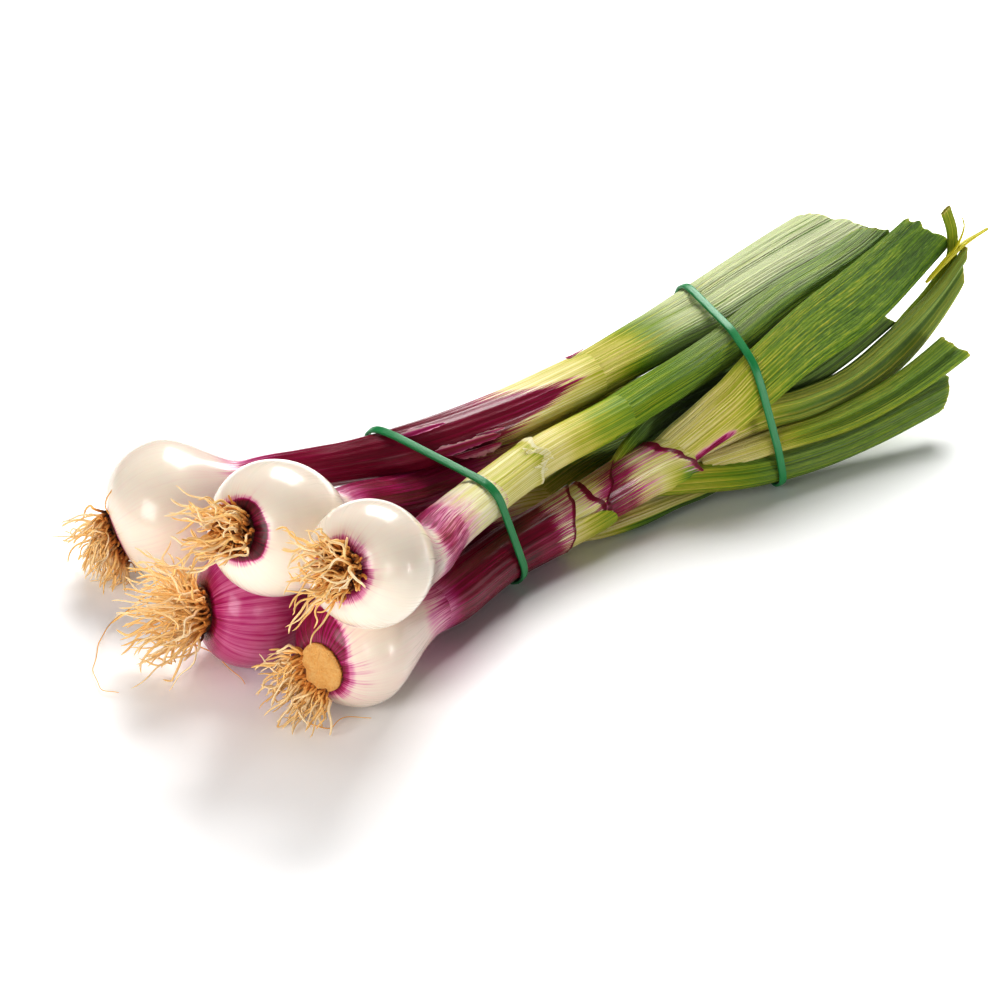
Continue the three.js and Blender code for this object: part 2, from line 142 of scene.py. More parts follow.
# gathers grids of points with their tones, then makes one mesh of them
class Skin:
    def __init__(self, name):
        self.name = name
        self.points = []
        self.tones = []
        self.places = []
        self.quads = []
        self.count = 0

    # one grid, closed round its columns, whose quads join each row to the next; tone is (blush, sap, leafy,
    # fray) on a skin and (blush, sap, waxy bloom with painted sheen, flecks) on a leaf, place is the
    # pattern's own space
    def add(self, points, tone, place, flip=False):
        rows, columns = points.shape[:2]
        index = np.arange(rows * columns).reshape(rows, columns) + self.count
        right = np.roll(index, -1, axis=1)
        quad = np.stack([index[:-1], right[:-1], right[1:], index[1:]], axis=-1).reshape(-1, 4)
        self.quads.append(quad[:, ::-1] if flip else quad)
        self.points.append(points.reshape(-1, 3))
        self.tones.append(np.broadcast_to(tone, (rows, columns, 4)).reshape(-1, 4))
        self.places.append(np.broadcast_to(place, points.shape).reshape(-1, 3))
        self.count += rows * columns

    # the gathered grids, moved to the row frame in metres, as one smooth mesh that stands for the nodes
    def build(self, material, slot, *nodes):
        points = (np.vstack(self.points) - bunchCentre) * millimetre
        quads = np.vstack(self.quads)
        mesh = bpy.data.meshes.new(self.name)
        mesh.vertices.add(len(points))
        mesh.vertices.foreach_set("co", points.astype(np.float32).ravel())
        mesh.loops.add(quads.size)
        mesh.loops.foreach_set("vertex_index", quads.astype(np.int32).ravel())
        mesh.polygons.add(len(quads))
        mesh.polygons.foreach_set("loop_start", np.arange(0, quads.size, 4, dtype=np.int32))
        mesh.polygons.foreach_set("use_smooth", np.full(len(quads), True))
        mesh.update(calc_edges=True)
        tone = mesh.attributes.new("tone", "FLOAT_COLOR", "POINT")
        tone.data.foreach_set("color", np.vstack(self.tones).astype(np.float32).ravel())
        place = mesh.attributes.new("place", "FLOAT_VECTOR", "POINT")
        place.data.foreach_set("vector", np.vstack(self.places).astype(np.float32).ravel())
        mesh.validate()
        mesh.materials.append(material)
        piece = bpy.data.objects.new(self.name, mesh)
        bpy.context.scene.collection.objects.link(piece)
        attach(piece, "root")
        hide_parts(*nodes)
        return piece


# a flat lid: a ring drawn in to its middle by even steps
def lid(ring, steps):
    middle = ring.mean(axis=1, keepdims=True)
    return middle + (ring - middle) * np.linspace(1.0, 0.0, steps)[:, None, None]


# one socket of a shader, so that masks and patterns are written as sums
class Socket:
    def __init__(self, tree, link):
        self.tree = tree
        self.link = link

    # a new node: its settings first, then values or links for its sockets, by name or as i and a number
    def node(self, kind, settings=None, out=0, **inputs):
        made = self.tree.nodes.new(kind)
        for key, value in (settings or {}).items():
            if key == "stops":
                ramp = made.color_ramp
                while len(ramp.elements) < len(value):
                    ramp.elements.new(0.5)
                for element, (place, colour) in zip(ramp.elements, value):
                    element.position = place
                    element.color = colour
            else:
                setattr(made, key, value)
        for key, value in inputs.items():
            numbered = key[1:].isdigit()
            target = made.inputs[int(key[1:]) if numbered else key.replace("_", " ")]
            if isinstance(value, Socket):
                self.tree.links.new(value.link, target)
            else:
                target.default_value = value
        return Socket(self.tree, made.outputs[out])

    # one Math node on this value and another
    def math(self, operation, other=0.0, flip=False, clamp=False):
        first, second = (other, self) if flip else (self, other)
        settings = {"operation": operation, "use_clamp": clamp}
        return self.node("ShaderNodeMath", settings, i0=first, i1=second)

    def __add__(self, other):
        return self.math("ADD", other)

    def __mul__(self, other):
        return self.math("MULTIPLY", other)

    def __sub__(self, other):
        return self.math("SUBTRACT", other)

    def __rsub__(self, other):
        return self.math("SUBTRACT", other, flip=True)

    __radd__ = __add__
    __rmul__ = __mul__

    # this value held between 0 and 1
    def clamp(self):
        return self.math("ADD", 0.0, clamp=True)

    # a smooth step: 0 below low, 1 above high
    def between(self, low, high):
        return self.node("ShaderNodeMapRange", {"interpolation_type": "SMOOTHSTEP"},
                         Value=self, From_Min=low, From_Max=high)

    # this vector times a factor on each axis
    def stretch(self, x, y, z):
        return self.node("ShaderNodeVectorMath", {"operation": "MULTIPLY"}, i0=self, i1=(x, y, z))

    # cloudy noise read at this vector
    def noise(self, detail=3.0, roughness=0.55):
        return self.node("ShaderNodeTexNoise", Vector=self, Scale=1.0, Detail=detail, Roughness=roughness)

    # this value as a colour between stops of (value, colour)
    def ramp(self, *stops):
        return self.node("ShaderNodeValToRGB", {"stops": stops}, Fac=self)

    # this colour where mask is 0, other where it is 1
    def blend(self, other, mask):
        return self.node("ShaderNodeMix", {"data_type": "RGBA"}, out=2, i0=mask, i6=self, i7=other)

    # this value as a height that bends the normal
    def bump(self, strength, distance):
        return self.node("ShaderNodeBump", Height=self, Strength=strength, Distance=distance)

    # one number of this vector or colour
    def part(self, axis):
        return self.node("ShaderNodeSeparateXYZ", out=axis, Vector=self)


# a new material: fixed values on its shader, then its tone, fray and place attributes, and a function that
# links sockets to the shader
def newMaterial(name, **fixed):
    material = bpy.data.materials.new(name)
    material.use_nodes = True
    tree = material.node_tree
    shader = tree.nodes["Principled BSDF"]
    for key, value in fixed.items():
        shader.inputs[key.replace("_", " ")].default_value = value
    root = Socket(tree, None)
    tone = root.node("ShaderNodeAttribute", {"attribute_name": "tone"}, out="Color")
    fray = root.node("ShaderNodeAttribute", {"attribute_name": "tone"}, out="Alpha")
    place = root.node("ShaderNodeAttribute", {"attribute_name": "place"}, out="Vector")

    def feed(**links):
        for key, value in links.items():
            tree.links.new(value.link, shader.inputs[key.replace("_", " ")])
        return material

    return tone, fray, place, feed


blushStops = (
    (0.0, tint("f4e8d6")), (0.2, tint("f0d9cc")), (0.36, tint("dd86ab")), (0.52, tint("b0226a")),
    (0.68, tint("7e0f30")), (0.86, tint("4a0913")), (1.0, tint("24070a")),
)
sapStops = (
    (0.0, tint("f1e9bf")), (0.2, tint("dccf78")), (0.36, tint("b6b434")), (0.5, tint("7f9c20")),
    (0.66, tint("547a1a")), (0.82, tint("365616")), (1.0, tint("203510")),
)


# onion skin and sheath: blush goes cream, pink, magenta, burgundy and sap goes cream, lime, green;
# streaks are noise drawn out along the onion, and fray says how far they break up the tone
def makeSkinMaterial(name, roughness, weight):
    tone, fray, place, feed = newMaterial(
        name, IOR=1.45, Specular_IOR_Level=0.18, Subsurface_Weight=weight, Subsurface_Scale=0.004,
        Subsurface_Radius=(1.0, 0.55, 0.4), Coat_Roughness=0.18)
    streak = place.stretch(20.0, 20.0, 0.25).noise(5.0, 0.68)
    line = place.stretch(22.0, 22.0, 0.05).noise(2.0, 0.5)
    cloud = place.stretch(2.2, 2.2, 0.4).noise(3.0, 0.55)
    blush, sap, leafy = tone.part(0), tone.part(1), tone.part(2)
    flush = blush + (streak - 0.5) * (fray * 1.5 + 0.07) + (cloud - 0.5) * (fray * 0.3 + 0.14)
    red = flush.clamp().ramp(*blushStops)
    vein = line.between(0.36, 0.66)
    green = (sap + (vein - 0.5) * 0.2 + (cloud - 0.5) * 0.14).clamp().ramp(*sapStops)
    cover = leafy + (streak - 0.5) * (leafy * (1.0 - leafy) * 10.0)
    colour = red.blend(green, cover.between(0.3, 0.7))
    ridges = streak * (blush * 0.7 + 0.04) + vein * (leafy * 0.5 + blush * 0.2)
    gloss = roughness + leafy * 0.12 + (streak - 0.5) * 0.12
    coat = (1.0 - leafy) * ((1.0 - blush) * 0.55 + 0.17) + 0.03
    return feed(Base_Color=colour, Roughness=gloss, Coat_Weight=coat, Normal=ridges.bump(0.45, 0.0005))


# leaf: sap gives the green, with veins along it and a waxy bloom in patches that is partly a painted sheen
def makeLeafMaterial(name, roughness):
    tone, fray, place, feed = newMaterial(
        name, IOR=1.42, Specular_IOR_Level=0.22, Subsurface_Weight=0.06, Subsurface_Scale=0.002,
        Subsurface_Radius=(0.5, 1.0, 0.2))
    line = place.stretch(17.0, 17.0, 0.04).noise(2.0, 0.5)
    streak = place.stretch(12.0, 12.0, 0.2).noise(4.0, 0.62)
    fleck = place.stretch(14.0, 14.0, 2.0).noise(5.0, 0.7)
    bloom = place.stretch(1.6, 1.6, 0.3).noise(3.0, 0.5)
    blush, sap, bloomAndSheenLevel = tone.part(0), tone.part(1), tone.part(2)
    vein = line.between(0.36, 0.66)
    mottle = (fleck - 0.5) * (fray * 0.8 + 0.16) + (streak - 0.5) * 0.3
    green = (sap + (vein - 0.5) * 0.2 + mottle + (bloom - 0.5) * 0.16).clamp().ramp(*sapStops)
    # the bloom is a pale screen over the green: real wax and a painted sheen together
    bloomAndSheen = (bloom.between(0.1, 0.38) * streak.between(0.24, 0.54) * bloomAndSheenLevel).clamp()
    green = green.node("ShaderNodeMix", {"data_type": "RGBA", "blend_type": "SCREEN"}, out=2,
                       i0=bloomAndSheen * 0.86, i6=green, i7=tint("c4c2a4"))
    flush = blush + (fleck - 0.5) * (blush * (1.0 - blush) * 4.0)
    colour = green.blend(flush.clamp().ramp(*blushStops), flush.between(0.2, 0.4))
    height = vein + fleck * 0.5 + streak * 1.2 + bloom
    gloss = roughness + (bloom - 0.5) * 0.25 + (fleck - 0.5) * 0.25
    return feed(Base_Color=colour, Roughness=gloss, Normal=height.bump(0.6, 0.0007))


# a young yellow shoot, a little greener in places
def makeSproutMaterial(name):
    place, feed = newMaterial(name, Roughness=0.4, IOR=1.42)[2:]
    cloud = place.stretch(2.0, 2.0, 0.6).noise(2.0, 0.5)
    colour = cloud.ramp((0.3, tint("a9a818")), (0.6, tint("d8cb22")), (0.8, tint("e4dc55")))
    return feed(Base_Color=colour)


# root: dark at the plate, straw further out, each root a little lighter or darker; a bare plate is pithy
def makeRootMaterial(name):
    tone, _, place, feed = newMaterial(name, Roughness=0.7, IOR=1.4)
    straw, bare = tone.part(0), tone.part(1)
    grain = place.stretch(3.0, 3.0, 3.0).noise(3.0, 0.6)
    pith = place.stretch(16.0, 16.0, 16.0).noise(3.0, 0.6)
    colour = (straw + (grain - 0.5) * 0.3 + (pith - 0.5) * (bare * 0.5)).clamp().ramp(
        (0.0, tint("2a120e")), (0.12, tint("64381a")), (0.28, tint("c47a30")), (0.5, tint("efb060")),
        (0.76, tint("fad08a")), (1.0, tint("ffeac4")))
    return feed(Base_Color=colour, Normal=(pith * bare).bump(0.8, 0.0012))


# green rubber with fine lines along the band
def makeBandMaterial(name):
    tone, _, place, feed = newMaterial(name, Roughness=0.38, IOR=1.5)
    line = place.stretch(1.0, 14.0, 1.0).noise(2.0, 0.5)
    shade = (tone.part(0) + (line - 0.5) * 0.3).clamp()
    colour = shade.ramp((0.0, tint("0b5429")), (0.5, tint("1c8449")), (1.0, tint("7fd09c")))
    return feed(Base_Color=colour, Normal=line.bump(0.3, 0.0003))


# each finish paired with a slot name
finishes = dict(
    white=(makeSkinMaterial("white onion skin", 0.28, 0.16), "onion_skin_white"),
    red=(makeSkinMaterial("red onion skin", 0.28, 0.12), "onion_skin_red"),
    green=(makeLeafMaterial("green leaf", 0.42), "leaf_green"),
    young=(makeLeafMaterial("young leaf", 0.42), "leaf_young"),
    sprout=(makeSproutMaterial("yellow sprout"), "sprout_yellow"),
    root=(makeRootMaterial("straw root"), "root_straw"),
    rubber=(makeBandMaterial("green rubber"), "band_green"),
)
print("materials made")


# Each onion as in the solids: the bulb's radius, its lower and upper depth as shares of that, how full its
# shoulder is, the line of its middle, and neck rows of [millimetres along, half width, half thickness].
# hue rows are [millimetres along, blush, sap, leafy], fray rows [millimetres along, how streaky].
# lean [millimetres, turn] shifts the blush round the roots to one side; tongue [millimetres, turn, width,
# millimetres along] draws the neck's blush out on one side.
# A sheath starts on the way, stands off by lift and ends at a rim of [turn, millimetres along] rows: edge is
# the rim's tone, span the turns that carry it, flush the blush below it, torn how uneven it is, greens the
# green of its far corner. A flap of torn skin has its place, turn, length, half width as a turn, curl and
# blush.
onions = {
    "onion_1": dict(
        bulb=25.6, lower=0.78, upper=1.2, full=1.3, face=up, finish="white", seed=3,
        line=[(-124.5, 78.5, 17.8), (-107.6, 69.6, 24.6), (-82.5, 54, 35), (-70, 41, 39.5),
              (-53, 30.5, 41.8), (-35, 22.5, 43.6), (0, 17.5, 46), (27.5, 17, 47.8), (42, 17, 49)],
        neck=[(50, 7.2, 7.0), (80, 7.6, 7.4), (112, 9.2, 9.0), (170, 9.6, 8.8), (205, 9.6, 8.4)],
        fray=[(0, 0.2), (40, 0.25), (50, 0.7), (66, 0.2), (140, 0.2), (160, 0.5), (200, 0.5)],
        tongue=(30.0, 0.85, 0.55, 160.0),
        hue=[(0, 0.7, 0, 0), (0.4, 0.4, 0, 0), (1.2, 0.06, 0, 0), (30, 0.02, 0, 0), (38, 0.12, 0, 0),
             (46, 0.28, 0, 0), (54, 0.5, 0, 0), (66, 0.68, 0, 0), (100, 0.74, 0, 0), (130, 0.7, 0.04, 0),
             (142, 0.62, 0.08, 0.45), (156, 0.3, 0.12, 1), (176, 0.2, 0.2, 1), (188, 0.1, 0.3, 1),
             (205, 0.1, 0.36, 1)],
        sheaths=[],
        flaps=[dict(place=104, turn=0.45, long=16, wide=0.12, curl=1.2, blush=0.62),
               dict(place=114, turn=1.45, long=24, wide=0.2, curl=1.8, blush=0.68),
               dict(place=120, turn=1.8, long=18, wide=0.16, curl=2.0, blush=0.58),
               dict(place=130, turn=1.3, long=10, wide=0.1, curl=1.6, blush=0.5),
               dict(place=182, turn=-0.35, long=6, wide=0.06, curl=0.9, blush=0.66)],
    ),
    "onion_2": dict(
        bulb=22.2, lower=0.8, upper=1.6, full=1.15, face=up, finish="white", seed=5,
        lean=(0.7, 1.2),
        line=[(-140, -19, 68.5), (-123, -16, 62), (-98, -8, 51), (-75, 6, 40.5), (-45, 15, 30.5),
              (-20, 17, 28.5), (20, 15.5, 28), (50, 14, 31)],
        neck=[(58, 9.6, 9.2), (95, 9.4, 9.2), (150, 9.2, 9.2), (215, 9.0, 9.0)],
        fray=[(0, 0.6), (1.4, 0.5), (3, 0.1), (44, 0.2), (56, 0.5), (200, 0.4)],
        hue=[(0, 0.8, 0, 0), (0.14, 0.66, 0, 0), (0.36, 0.3, 0, 0), (1.0, 0.06, 0, 0), (40, 0.03, 0, 0),
             (50, 0.14, 0, 0), (60, 0.46, 0, 0), (80, 0.66, 0, 0), (120, 0.68, 0, 0),
             (150, 0.5, 0.1, 0.5), (180, 0.3, 0.3, 1)],
        sheaths=[], flaps=[],
    ),
    "onion_3": dict(
        bulb=20.6, lower=0.8, upper=1.7, face=up, finish="white", seed=8,
        line=[(-131, -63, 71), (-116.5, -58, 65), (-90, -48, 53), (-62, -27, 43), (-30, -11, 37.5),
              (0.5, -3.8, 38.6), (30.4, -2, 40.3), (41, -1.5, 41.2)],
        neck=[(53, 9.2, 9.0), (100, 8.0, 7.8), (130, 7.4, 7.2), (200, 7.4, 7.2)],
        fray=[(0, 0.6), (1.5, 0.3), (4, 0.1), (44, 0.2), (56, 0.5), (200, 0.3)],
        hue=[(0, 0.62, 0, 0), (0.25, 0.4, 0, 0), (0.9, 0.16, 0, 0), (2.4, 0.04, 0, 0), (30, 0.02, 0, 0),
             (90, 0.1, 0.02, 0.6), (112, 0, 0.14, 1), (156, 0, 0.18, 1), (168, 0, 0.32, 1),
             (180, 0, 0.46, 1), (192, 0, 0.54, 1)],
        sheaths=[dict(start=26, lift=0.9, edge=(0.4, 0.1, 0.6), span=(-4, 4),
                      rim=[(-3.15, 117), (-1, 118), (0.3, 116), (1.5, 119), (3.15, 117)],
                      fray=1.1,
                      hue=[(26, 0.02, 0, 0), (42, 0.1, 0, 0), (54, 0.52, 0, 0), (72, 0.44, 0.05, 0.1),
                           (88, 0.34, 0.06, 0.4), (104, 0.3, 0.08, 0.7), (120, 0.3, 0.1, 0.85)]),
                 dict(start=96, lift=0.7, edge=(0.0, 0.0, 1.0), span=(-4, 4), torn=0.6,
                      rim=[(-3.15, 146), (-0.45, 148.5), (0.24, 146.5), (0.8, 149), (1.41, 144),
                           (2.2, 145), (3.15, 146)],
                      hue=[(96, 0, 0.16, 1), (138, 0, 0.2, 1), (146, 0, 0.34, 1), (150, 0, 0.02, 1)])],
        flaps=[dict(place=141, turn=0.7, long=8, wide=0.5, curl=1.2, blush=0.0),
               dict(place=140, turn=1.3, long=5, wide=0.3, curl=0.9, blush=0.0)],
    ),
    "onion_4": dict(
        bulb=20.8, lower=0.8, upper=1.6, face=up, finish="red", seed=13,
        line=[(-135.5, 10, 23), (-119.5, 6, 20.4), (-90, 0, 16), (-60, 5, 11.8), (-30, 9, 11.4),
              (0, 9.8, 10.6), (15, 7.5, 9.2)],
        neck=[(54, 9.2, 9.0), (100, 8.6, 8.4), (150, 8.4, 6.8)],
        fray=[(0, 0.5), (4, 0.25), (40, 0.2), (60, 0.3), (200, 0.4)],
        hue=[(0, 0.75, 0, 0), (0.6, 0.55, 0, 0), (3, 0.48, 0, 0), (14, 0.47, 0, 0), (30, 0.54, 0, 0),
             (60, 0.68, 0, 0), (110, 0.7, 0, 0), (130, 0.5, 0.1, 0.5), (150, 0.2, 0.25, 1)],
        sheaths=[], flaps=[],
    ),
    "onion_5": dict(
        bulb=20.4, lower=0.8, upper=1.8, face=toFront, finish="red", seed=21,
        lean=(7.0, -1.9),
        line=[(-123, -39.5, 20.2), (-107, -36.5, 19.9), (-80, -32, 17.2), (-60, -25, 14),
              (-25, -14, 12.6), (-5.6, -11, 12.4), (11.8, -10, 13.8), (29.2, -10.5, 16.8),
              (46.4, -12, 20), (63.5, -14, 20.7)],
        neck=[(53, 8.8, 8.6), (95, 7.8, 7.6), (138, 8.4, 7.6), (170, 9.4, 6.4), (196, 10.6, 4.8)],
        fray=[(0, 0.7), (3, 0.6), (9, 0.2), (36, 0.3), (50, 0.8), (66, 0.3), (120, 0.3), (200, 0.5)],
        hue=[(0, 0.66, 0, 0), (0.3, 0.54, 0, 0), (0.8, 0.34, 0, 0), (1.9, 0.16, 0, 0), (8, 0.1, 0, 0),
             (34, 0.12, 0, 0), (46, 0.34, 0, 0), (60, 0.56, 0, 0), (80, 0.7, 0, 0), (128, 0.66, 0.14, 0),
             (140, 0.2, 0.14, 0.9), (170, 0, 0.2, 1), (195, 0, 0.24, 1)],
        sheaths=[dict(start=146, lift=0.5, edge=(0.76, 0.1, 0.0), span=(-2.6, 0.45), fray=0.7, flush=0.8,
                      greens=0.34,
                      rim=[(-3.15, 176), (-1.8, 175.5), (-0.91, 178.4), (-0.3, 186), (0.12, 191.3),
                           (0.6, 194), (1.2, 194), (2, 190), (3.15, 176)],
                      hue=[(146, 0.74, 0.1, 0.1), (158, 0.64, 0.14, 0.3), (170, 0.5, 0.18, 0.62),
                           (182, 0.3, 0.22, 0.9), (196, 0, 0.4, 1)]),
                 dict(start=126, lift=0.9, edge=(0.8, 0.1, 0.0), span=(-2.6, 0.2), fray=0.7, flush=0.7,
                      rim=[(-3.15, 160), (-1.87, 164), (-0.68, 155.5), (-0.09, 150), (0.6, 150),
                           (1.5, 152), (3.15, 160)],
                      hue=[(126, 0.3, 0.16, 0.8), (142, 0.5, 0.16, 0.7), (152, 0.6, 0.18, 0.5),
                           (166, 0.4, 0.34, 0.8)]),
                 dict(start=112, lift=1.2, edge=(0.78, 0.1, 0.0), span=(-2.6, 0.1), flush=0.7,
                      rim=[(-3.15, 144), (-1.95, 145), (-0.63, 144.6), (-0.09, 148), (0.6, 143),
                           (1.7, 142), (3.15, 144)],
                      hue=[(112, 0.2, 0.14, 0.9), (138, 0.5, 0.18, 0.8), (150, 0.5, 0.2, 0.7)]),
                 dict(start=54, lift=1.7, edge=(0.8, 0.0, 0.0), span=(-4, 4), fray=0.5, flush=0.3,
                      rim=[(-3.15, 138), (-1.9, 142), (-0.9, 136), (0.16, 130.5), (1.1, 128), (2.2, 131),
                           (3.15, 138)],
                      hue=[(54, 0.46, 0, 0), (66, 0.7, 0, 0), (106, 0.78, 0, 0), (118, 0.7, 0.08, 0.12),
                           (128, 0.56, 0.08, 0.48), (142, 0.5, 0.1, 0.6)])],
        flaps=[],
    ),
}
skinColumns = 144   # columns round an onion
skinRows = 300   # rows along an onion
plateRows = 60   # how many of them lie close to the root plate
plateReach = 12.0   # the millimetres that those take up
sheathRows = 72
rimRise = 0.55   # how far a sheath's rim stands up
rimReturn = 8.0   # how far its wall runs back inside
flapGrid = 40


# half width of a bulb: a quarter ellipse from the root plate to the equator, then a cosine shoulder to the
# neck over the share of its depth raised to the power full
def bulbRadius(onion, neckRadius, place):
    bulb = onion["bulb"]
    lower = onion["lower"] * bulb
    plate = plateShare * bulb
    below = plate + (bulb - plate) * np.sqrt(np.clip(1.0 - (1.0 - place / lower) ** 2, 0.0, 1.0))
    t = np.clip((place - lower) / (onion["upper"] * bulb), 0.0, 1.0) ** onion.get("full", 0.86)
    above = neckRadius + (bulb - neckRadius) * 0.5 * (1.0 + np.cos(math.pi * t))
    return np.where(place < lower, below, above)


# the pattern space of a skin: round the onion as a circle and along it in centimetres
def patternPlace(turn, place, seed):
    return np.stack([np.sin(turn) + seed, np.cos(turn) + 2.0 * seed, place / 10.0], axis=-1)


# a spot of an onion's skin from the millimetres along, the turn and how far it stands off: the swept bulb
# and neck, with a slow wobble all over and fine ribs above the bulb
def skinSpots(onion, place, turn, lift):
    seed = onion["seed"]
    top = (onion["lower"] + onion["upper"]) * onion["bulb"]
    wide = bulbRadius(onion, readRows(onion["neck"], place, 1), place) + lift
    thick = bulbRadius(onion, readRows(onion["neck"], place, 2), place) + lift
    wobble = wander(seed, turn, place, 5, 1.4) * 0.012 * np.clip(wide, 6, 30)
    ribs = np.sin(turn * 17 + wander(seed + 1, turn, place, 3)) * 0.1 * ease(top * 0.7, top, place)
    return swept(onion["curve"], onion["face"], place, turn, wide + wobble + ribs, thick + wobble + ribs)


# tones read along the skin with a jagged shift round it, which lean and tongue enlarge on one side
def skinTones(onion, place, turn, hue, fray):
    shift = wander(onion["seed"] + 2, turn, place, 9, 0.6) * np.clip(place / 60.0, 0.1, 1.0)
    size, side = onion.get("lean", (0.0, 0.0))
    shift = shift - size * (0.5 + 0.5 * np.cos(turn - side)) ** 3 * ease(20.0, 8.0, place)
    size, side, wide, reach = onion.get("tongue", (0.0, 0.0, 1.0, 100.0))
    drawn = shift - size * np.exp(-((turn - side) / wide) ** 2) * ease(reach - 60.0, reach, place)
    return np.stack([readRows(hue, place + drawn, 1), readRows(hue, place + shift, 2),
                     readRows(hue, place + drawn, 3), readRows(fray, place, 1)], axis=-1)


# a flap is a thin closed sheet on an onion's skin: side is the cosine round it times a taper, and it curls
# off by the squares of its length and side; a blunt one keeps its width
def addFlap(skin, onion, flap, seed):
    share = np.linspace(0.0, 1.0, flapGrid)[:, None]
    circle = np.linspace(0.0, 2.0 * math.pi, flapGrid, endpoint=False)[None, :]
    blunt = flap.get("blunt", False)
    if blunt:
        taper = np.sqrt(np.clip(1.0 - share ** 4, 0.0, 1.0))
    else:
        taper = np.sqrt(np.clip(1.0 - np.abs(2.0 * share - 1.0) ** 4, 0.0, 1.0)) * (1.0 - 0.55 * share)
    torn = 1.0 + (0.03 if blunt else 0.3) * wander(seed, circle, share * 200.0, 7, 0.5)
    side = np.cos(circle) * taper * torn
    place = flap["place"] + flap["long"] * share + (0.0 if blunt else 2.0) * side + 0.0 * circle
    lift = flap.get("lift", 0.5) * ease(-0.6, 0.8, share)
    lift = lift + flap["curl"] * (share ** 2 * 0.7 + side ** 2 * 0.8)
    lift = lift + flap.get("thick", 0.14) * np.sin(circle) * (taper > 0.0)
    turn = flap["turn"] + flap["wide"] * side
    edge = np.clip(np.abs(side) + share * 0.5, 0.0, 1.0)
    base, tip = flap.get("sap", (0.1, 0.1))
    blush = flap["blush"] * (1.0 - 0.5 * edge ** 4)
    sap = base + (tip - base) * ease(0.3, 0.9, share + 0.0 * edge)
    leafy = float(flap["blush"] == 0.0) + 0.0 * edge
    tone = np.stack([blush, sap, leafy, 0.3 + 0.0 * edge], axis=-1)
    if skin.name.endswith("_blade"):
        tone = tone * np.array([1.0, 1.0, 0.0, 0.0])   # a leaf's own skin has no waxy bloom, painted sheen or flecks here
    skin.add(skinSpots(onion, place, turn, lift), tone, patternPlace(turn, place, onion["seed"]))


# a sheath is a shell that lifts off the neck and ends at an uneven rim, blushed towards it; there its wall
# turns in and runs back inside
def addSheath(skin, onion, sheath, number, turn):
    seed = onion["seed"]
    streaks = sheath.get("fray", 0.6)
    fray = [(0, streaks), (300, streaks)]
    uneven = wander(seed + 30 + number, turn, turn, 9, 0.7) * sheath.get("torn", 0.1)
    rim = readRows(sheath["rim"], turn, 1) + uneven
    share = 1.0 - (1.0 - np.linspace(0.0, 1.0, sheathRows)[:, None]) ** 1.7
    place = sheath["start"] + (rim - sheath["start"]) * share
    wholeTurn = turn + 0.0 * place
    lift = sheath["lift"] * ease(0.0, 0.25, share) + rimRise * share ** 24
    tone = skinTones(onion, place, wholeTurn, sheath["hue"], fray)
    low, high = sheath["span"]
    carries = ease(low - 0.2, low, turn) * ease(high + 0.2, high, turn)
    thickEdge = 1.0 + 0.35 * wander(seed + 90 + number, turn, turn, 5, 0.8)
    near = (np.exp(-((rim - place) / (1.7 * thickEdge)) ** 4) * carries)[..., None]
    flush = np.exp(-((rim - place) / 7.0) ** 2) * carries * sheath.get("flush", 0.0)
    tone[..., 0] = tone[..., 0] + (0.62 - tone[..., 0]) * flush
    tone[..., 2] = tone[..., 2] * (1.0 - 0.6 * flush)
    tone[..., 1] += sheath.get("greens", 0.0) * ease(-0.1, 0.5, turn) * ease(20.0, 2.0, rim - place)
    tone = tone * (1.0 - near) + np.array(sheath["edge"] + (0.1,)) * near
    skin.add(skinSpots(onion, place, wholeTurn, lift), tone, patternPlace(wholeTurn, place, seed + number))
    share = np.linspace(0.0, 1.0, 16)[:, None]
    place = rim - share * rimReturn
    wholeTurn = turn + 0.0 * place
    lift = sheath["lift"] + rimRise - 0.5 * ease(0.0, 0.07, share) - 0.5 * sheath["lift"] * share
    tone = skinTones(onion, place, wholeTurn, sheath["hue"], fray)
    skin.add(skinSpots(onion, place, wholeTurn, lift), tone, patternPlace(wholeTurn, place, seed))


# bulb and neck in one run with flat ends, then the sheaths, then flaps of torn skin
def makeOnion(name, onion):
    skin = Skin(name + "_skin")
    seed = onion["seed"]
    total = onion["curve"].total
    turn = np.linspace(-math.pi, math.pi, skinColumns, endpoint=False)[None, :]
    closeRows = np.linspace(0.0, 1.0, plateRows) ** 2 * plateReach
    farRows = np.linspace(plateReach, total, skinRows - plateRows + 1)[1:]
    place = np.concatenate([closeRows, farRows])[:, None] + 0.0 * turn
    wholeTurn = turn + 0.0 * place
    tone = skinTones(onion, place, wholeTurn, onion["hue"], onion["fray"])
    skin.add(skinSpots(onion, place, wholeTurn, 0.0), tone, patternPlace(wholeTurn, place, seed))
    for end, flip, tone in ((0.0, True, (0.7, 0.0, 0.0, 0.0)), (total, False, (0.0, 0.2, 1.0, 0.0))):
        ring = skinSpots(onion, end + 0.0 * turn, turn, 0.0)
        skin.add(lid(ring, 8), np.array(tone), patternPlace(turn, 0.0 * turn + end, seed), flip=flip)
    for number, sheath in enumerate(onion["sheaths"]):
        addSheath(skin, onion, sheath, number, turn)
    for number, flap in enumerate(onion["flaps"]):
        addFlap(skin, onion, flap, seed + 60 + number)
    return skin.build(*finishes[onion["finish"]], name + "_bulb")


for onion in onions.values():
    onion["curve"] = Line(onion["line"])
for name, onion in onions.items():
    makeOnion(name, onion)
print("onions made")
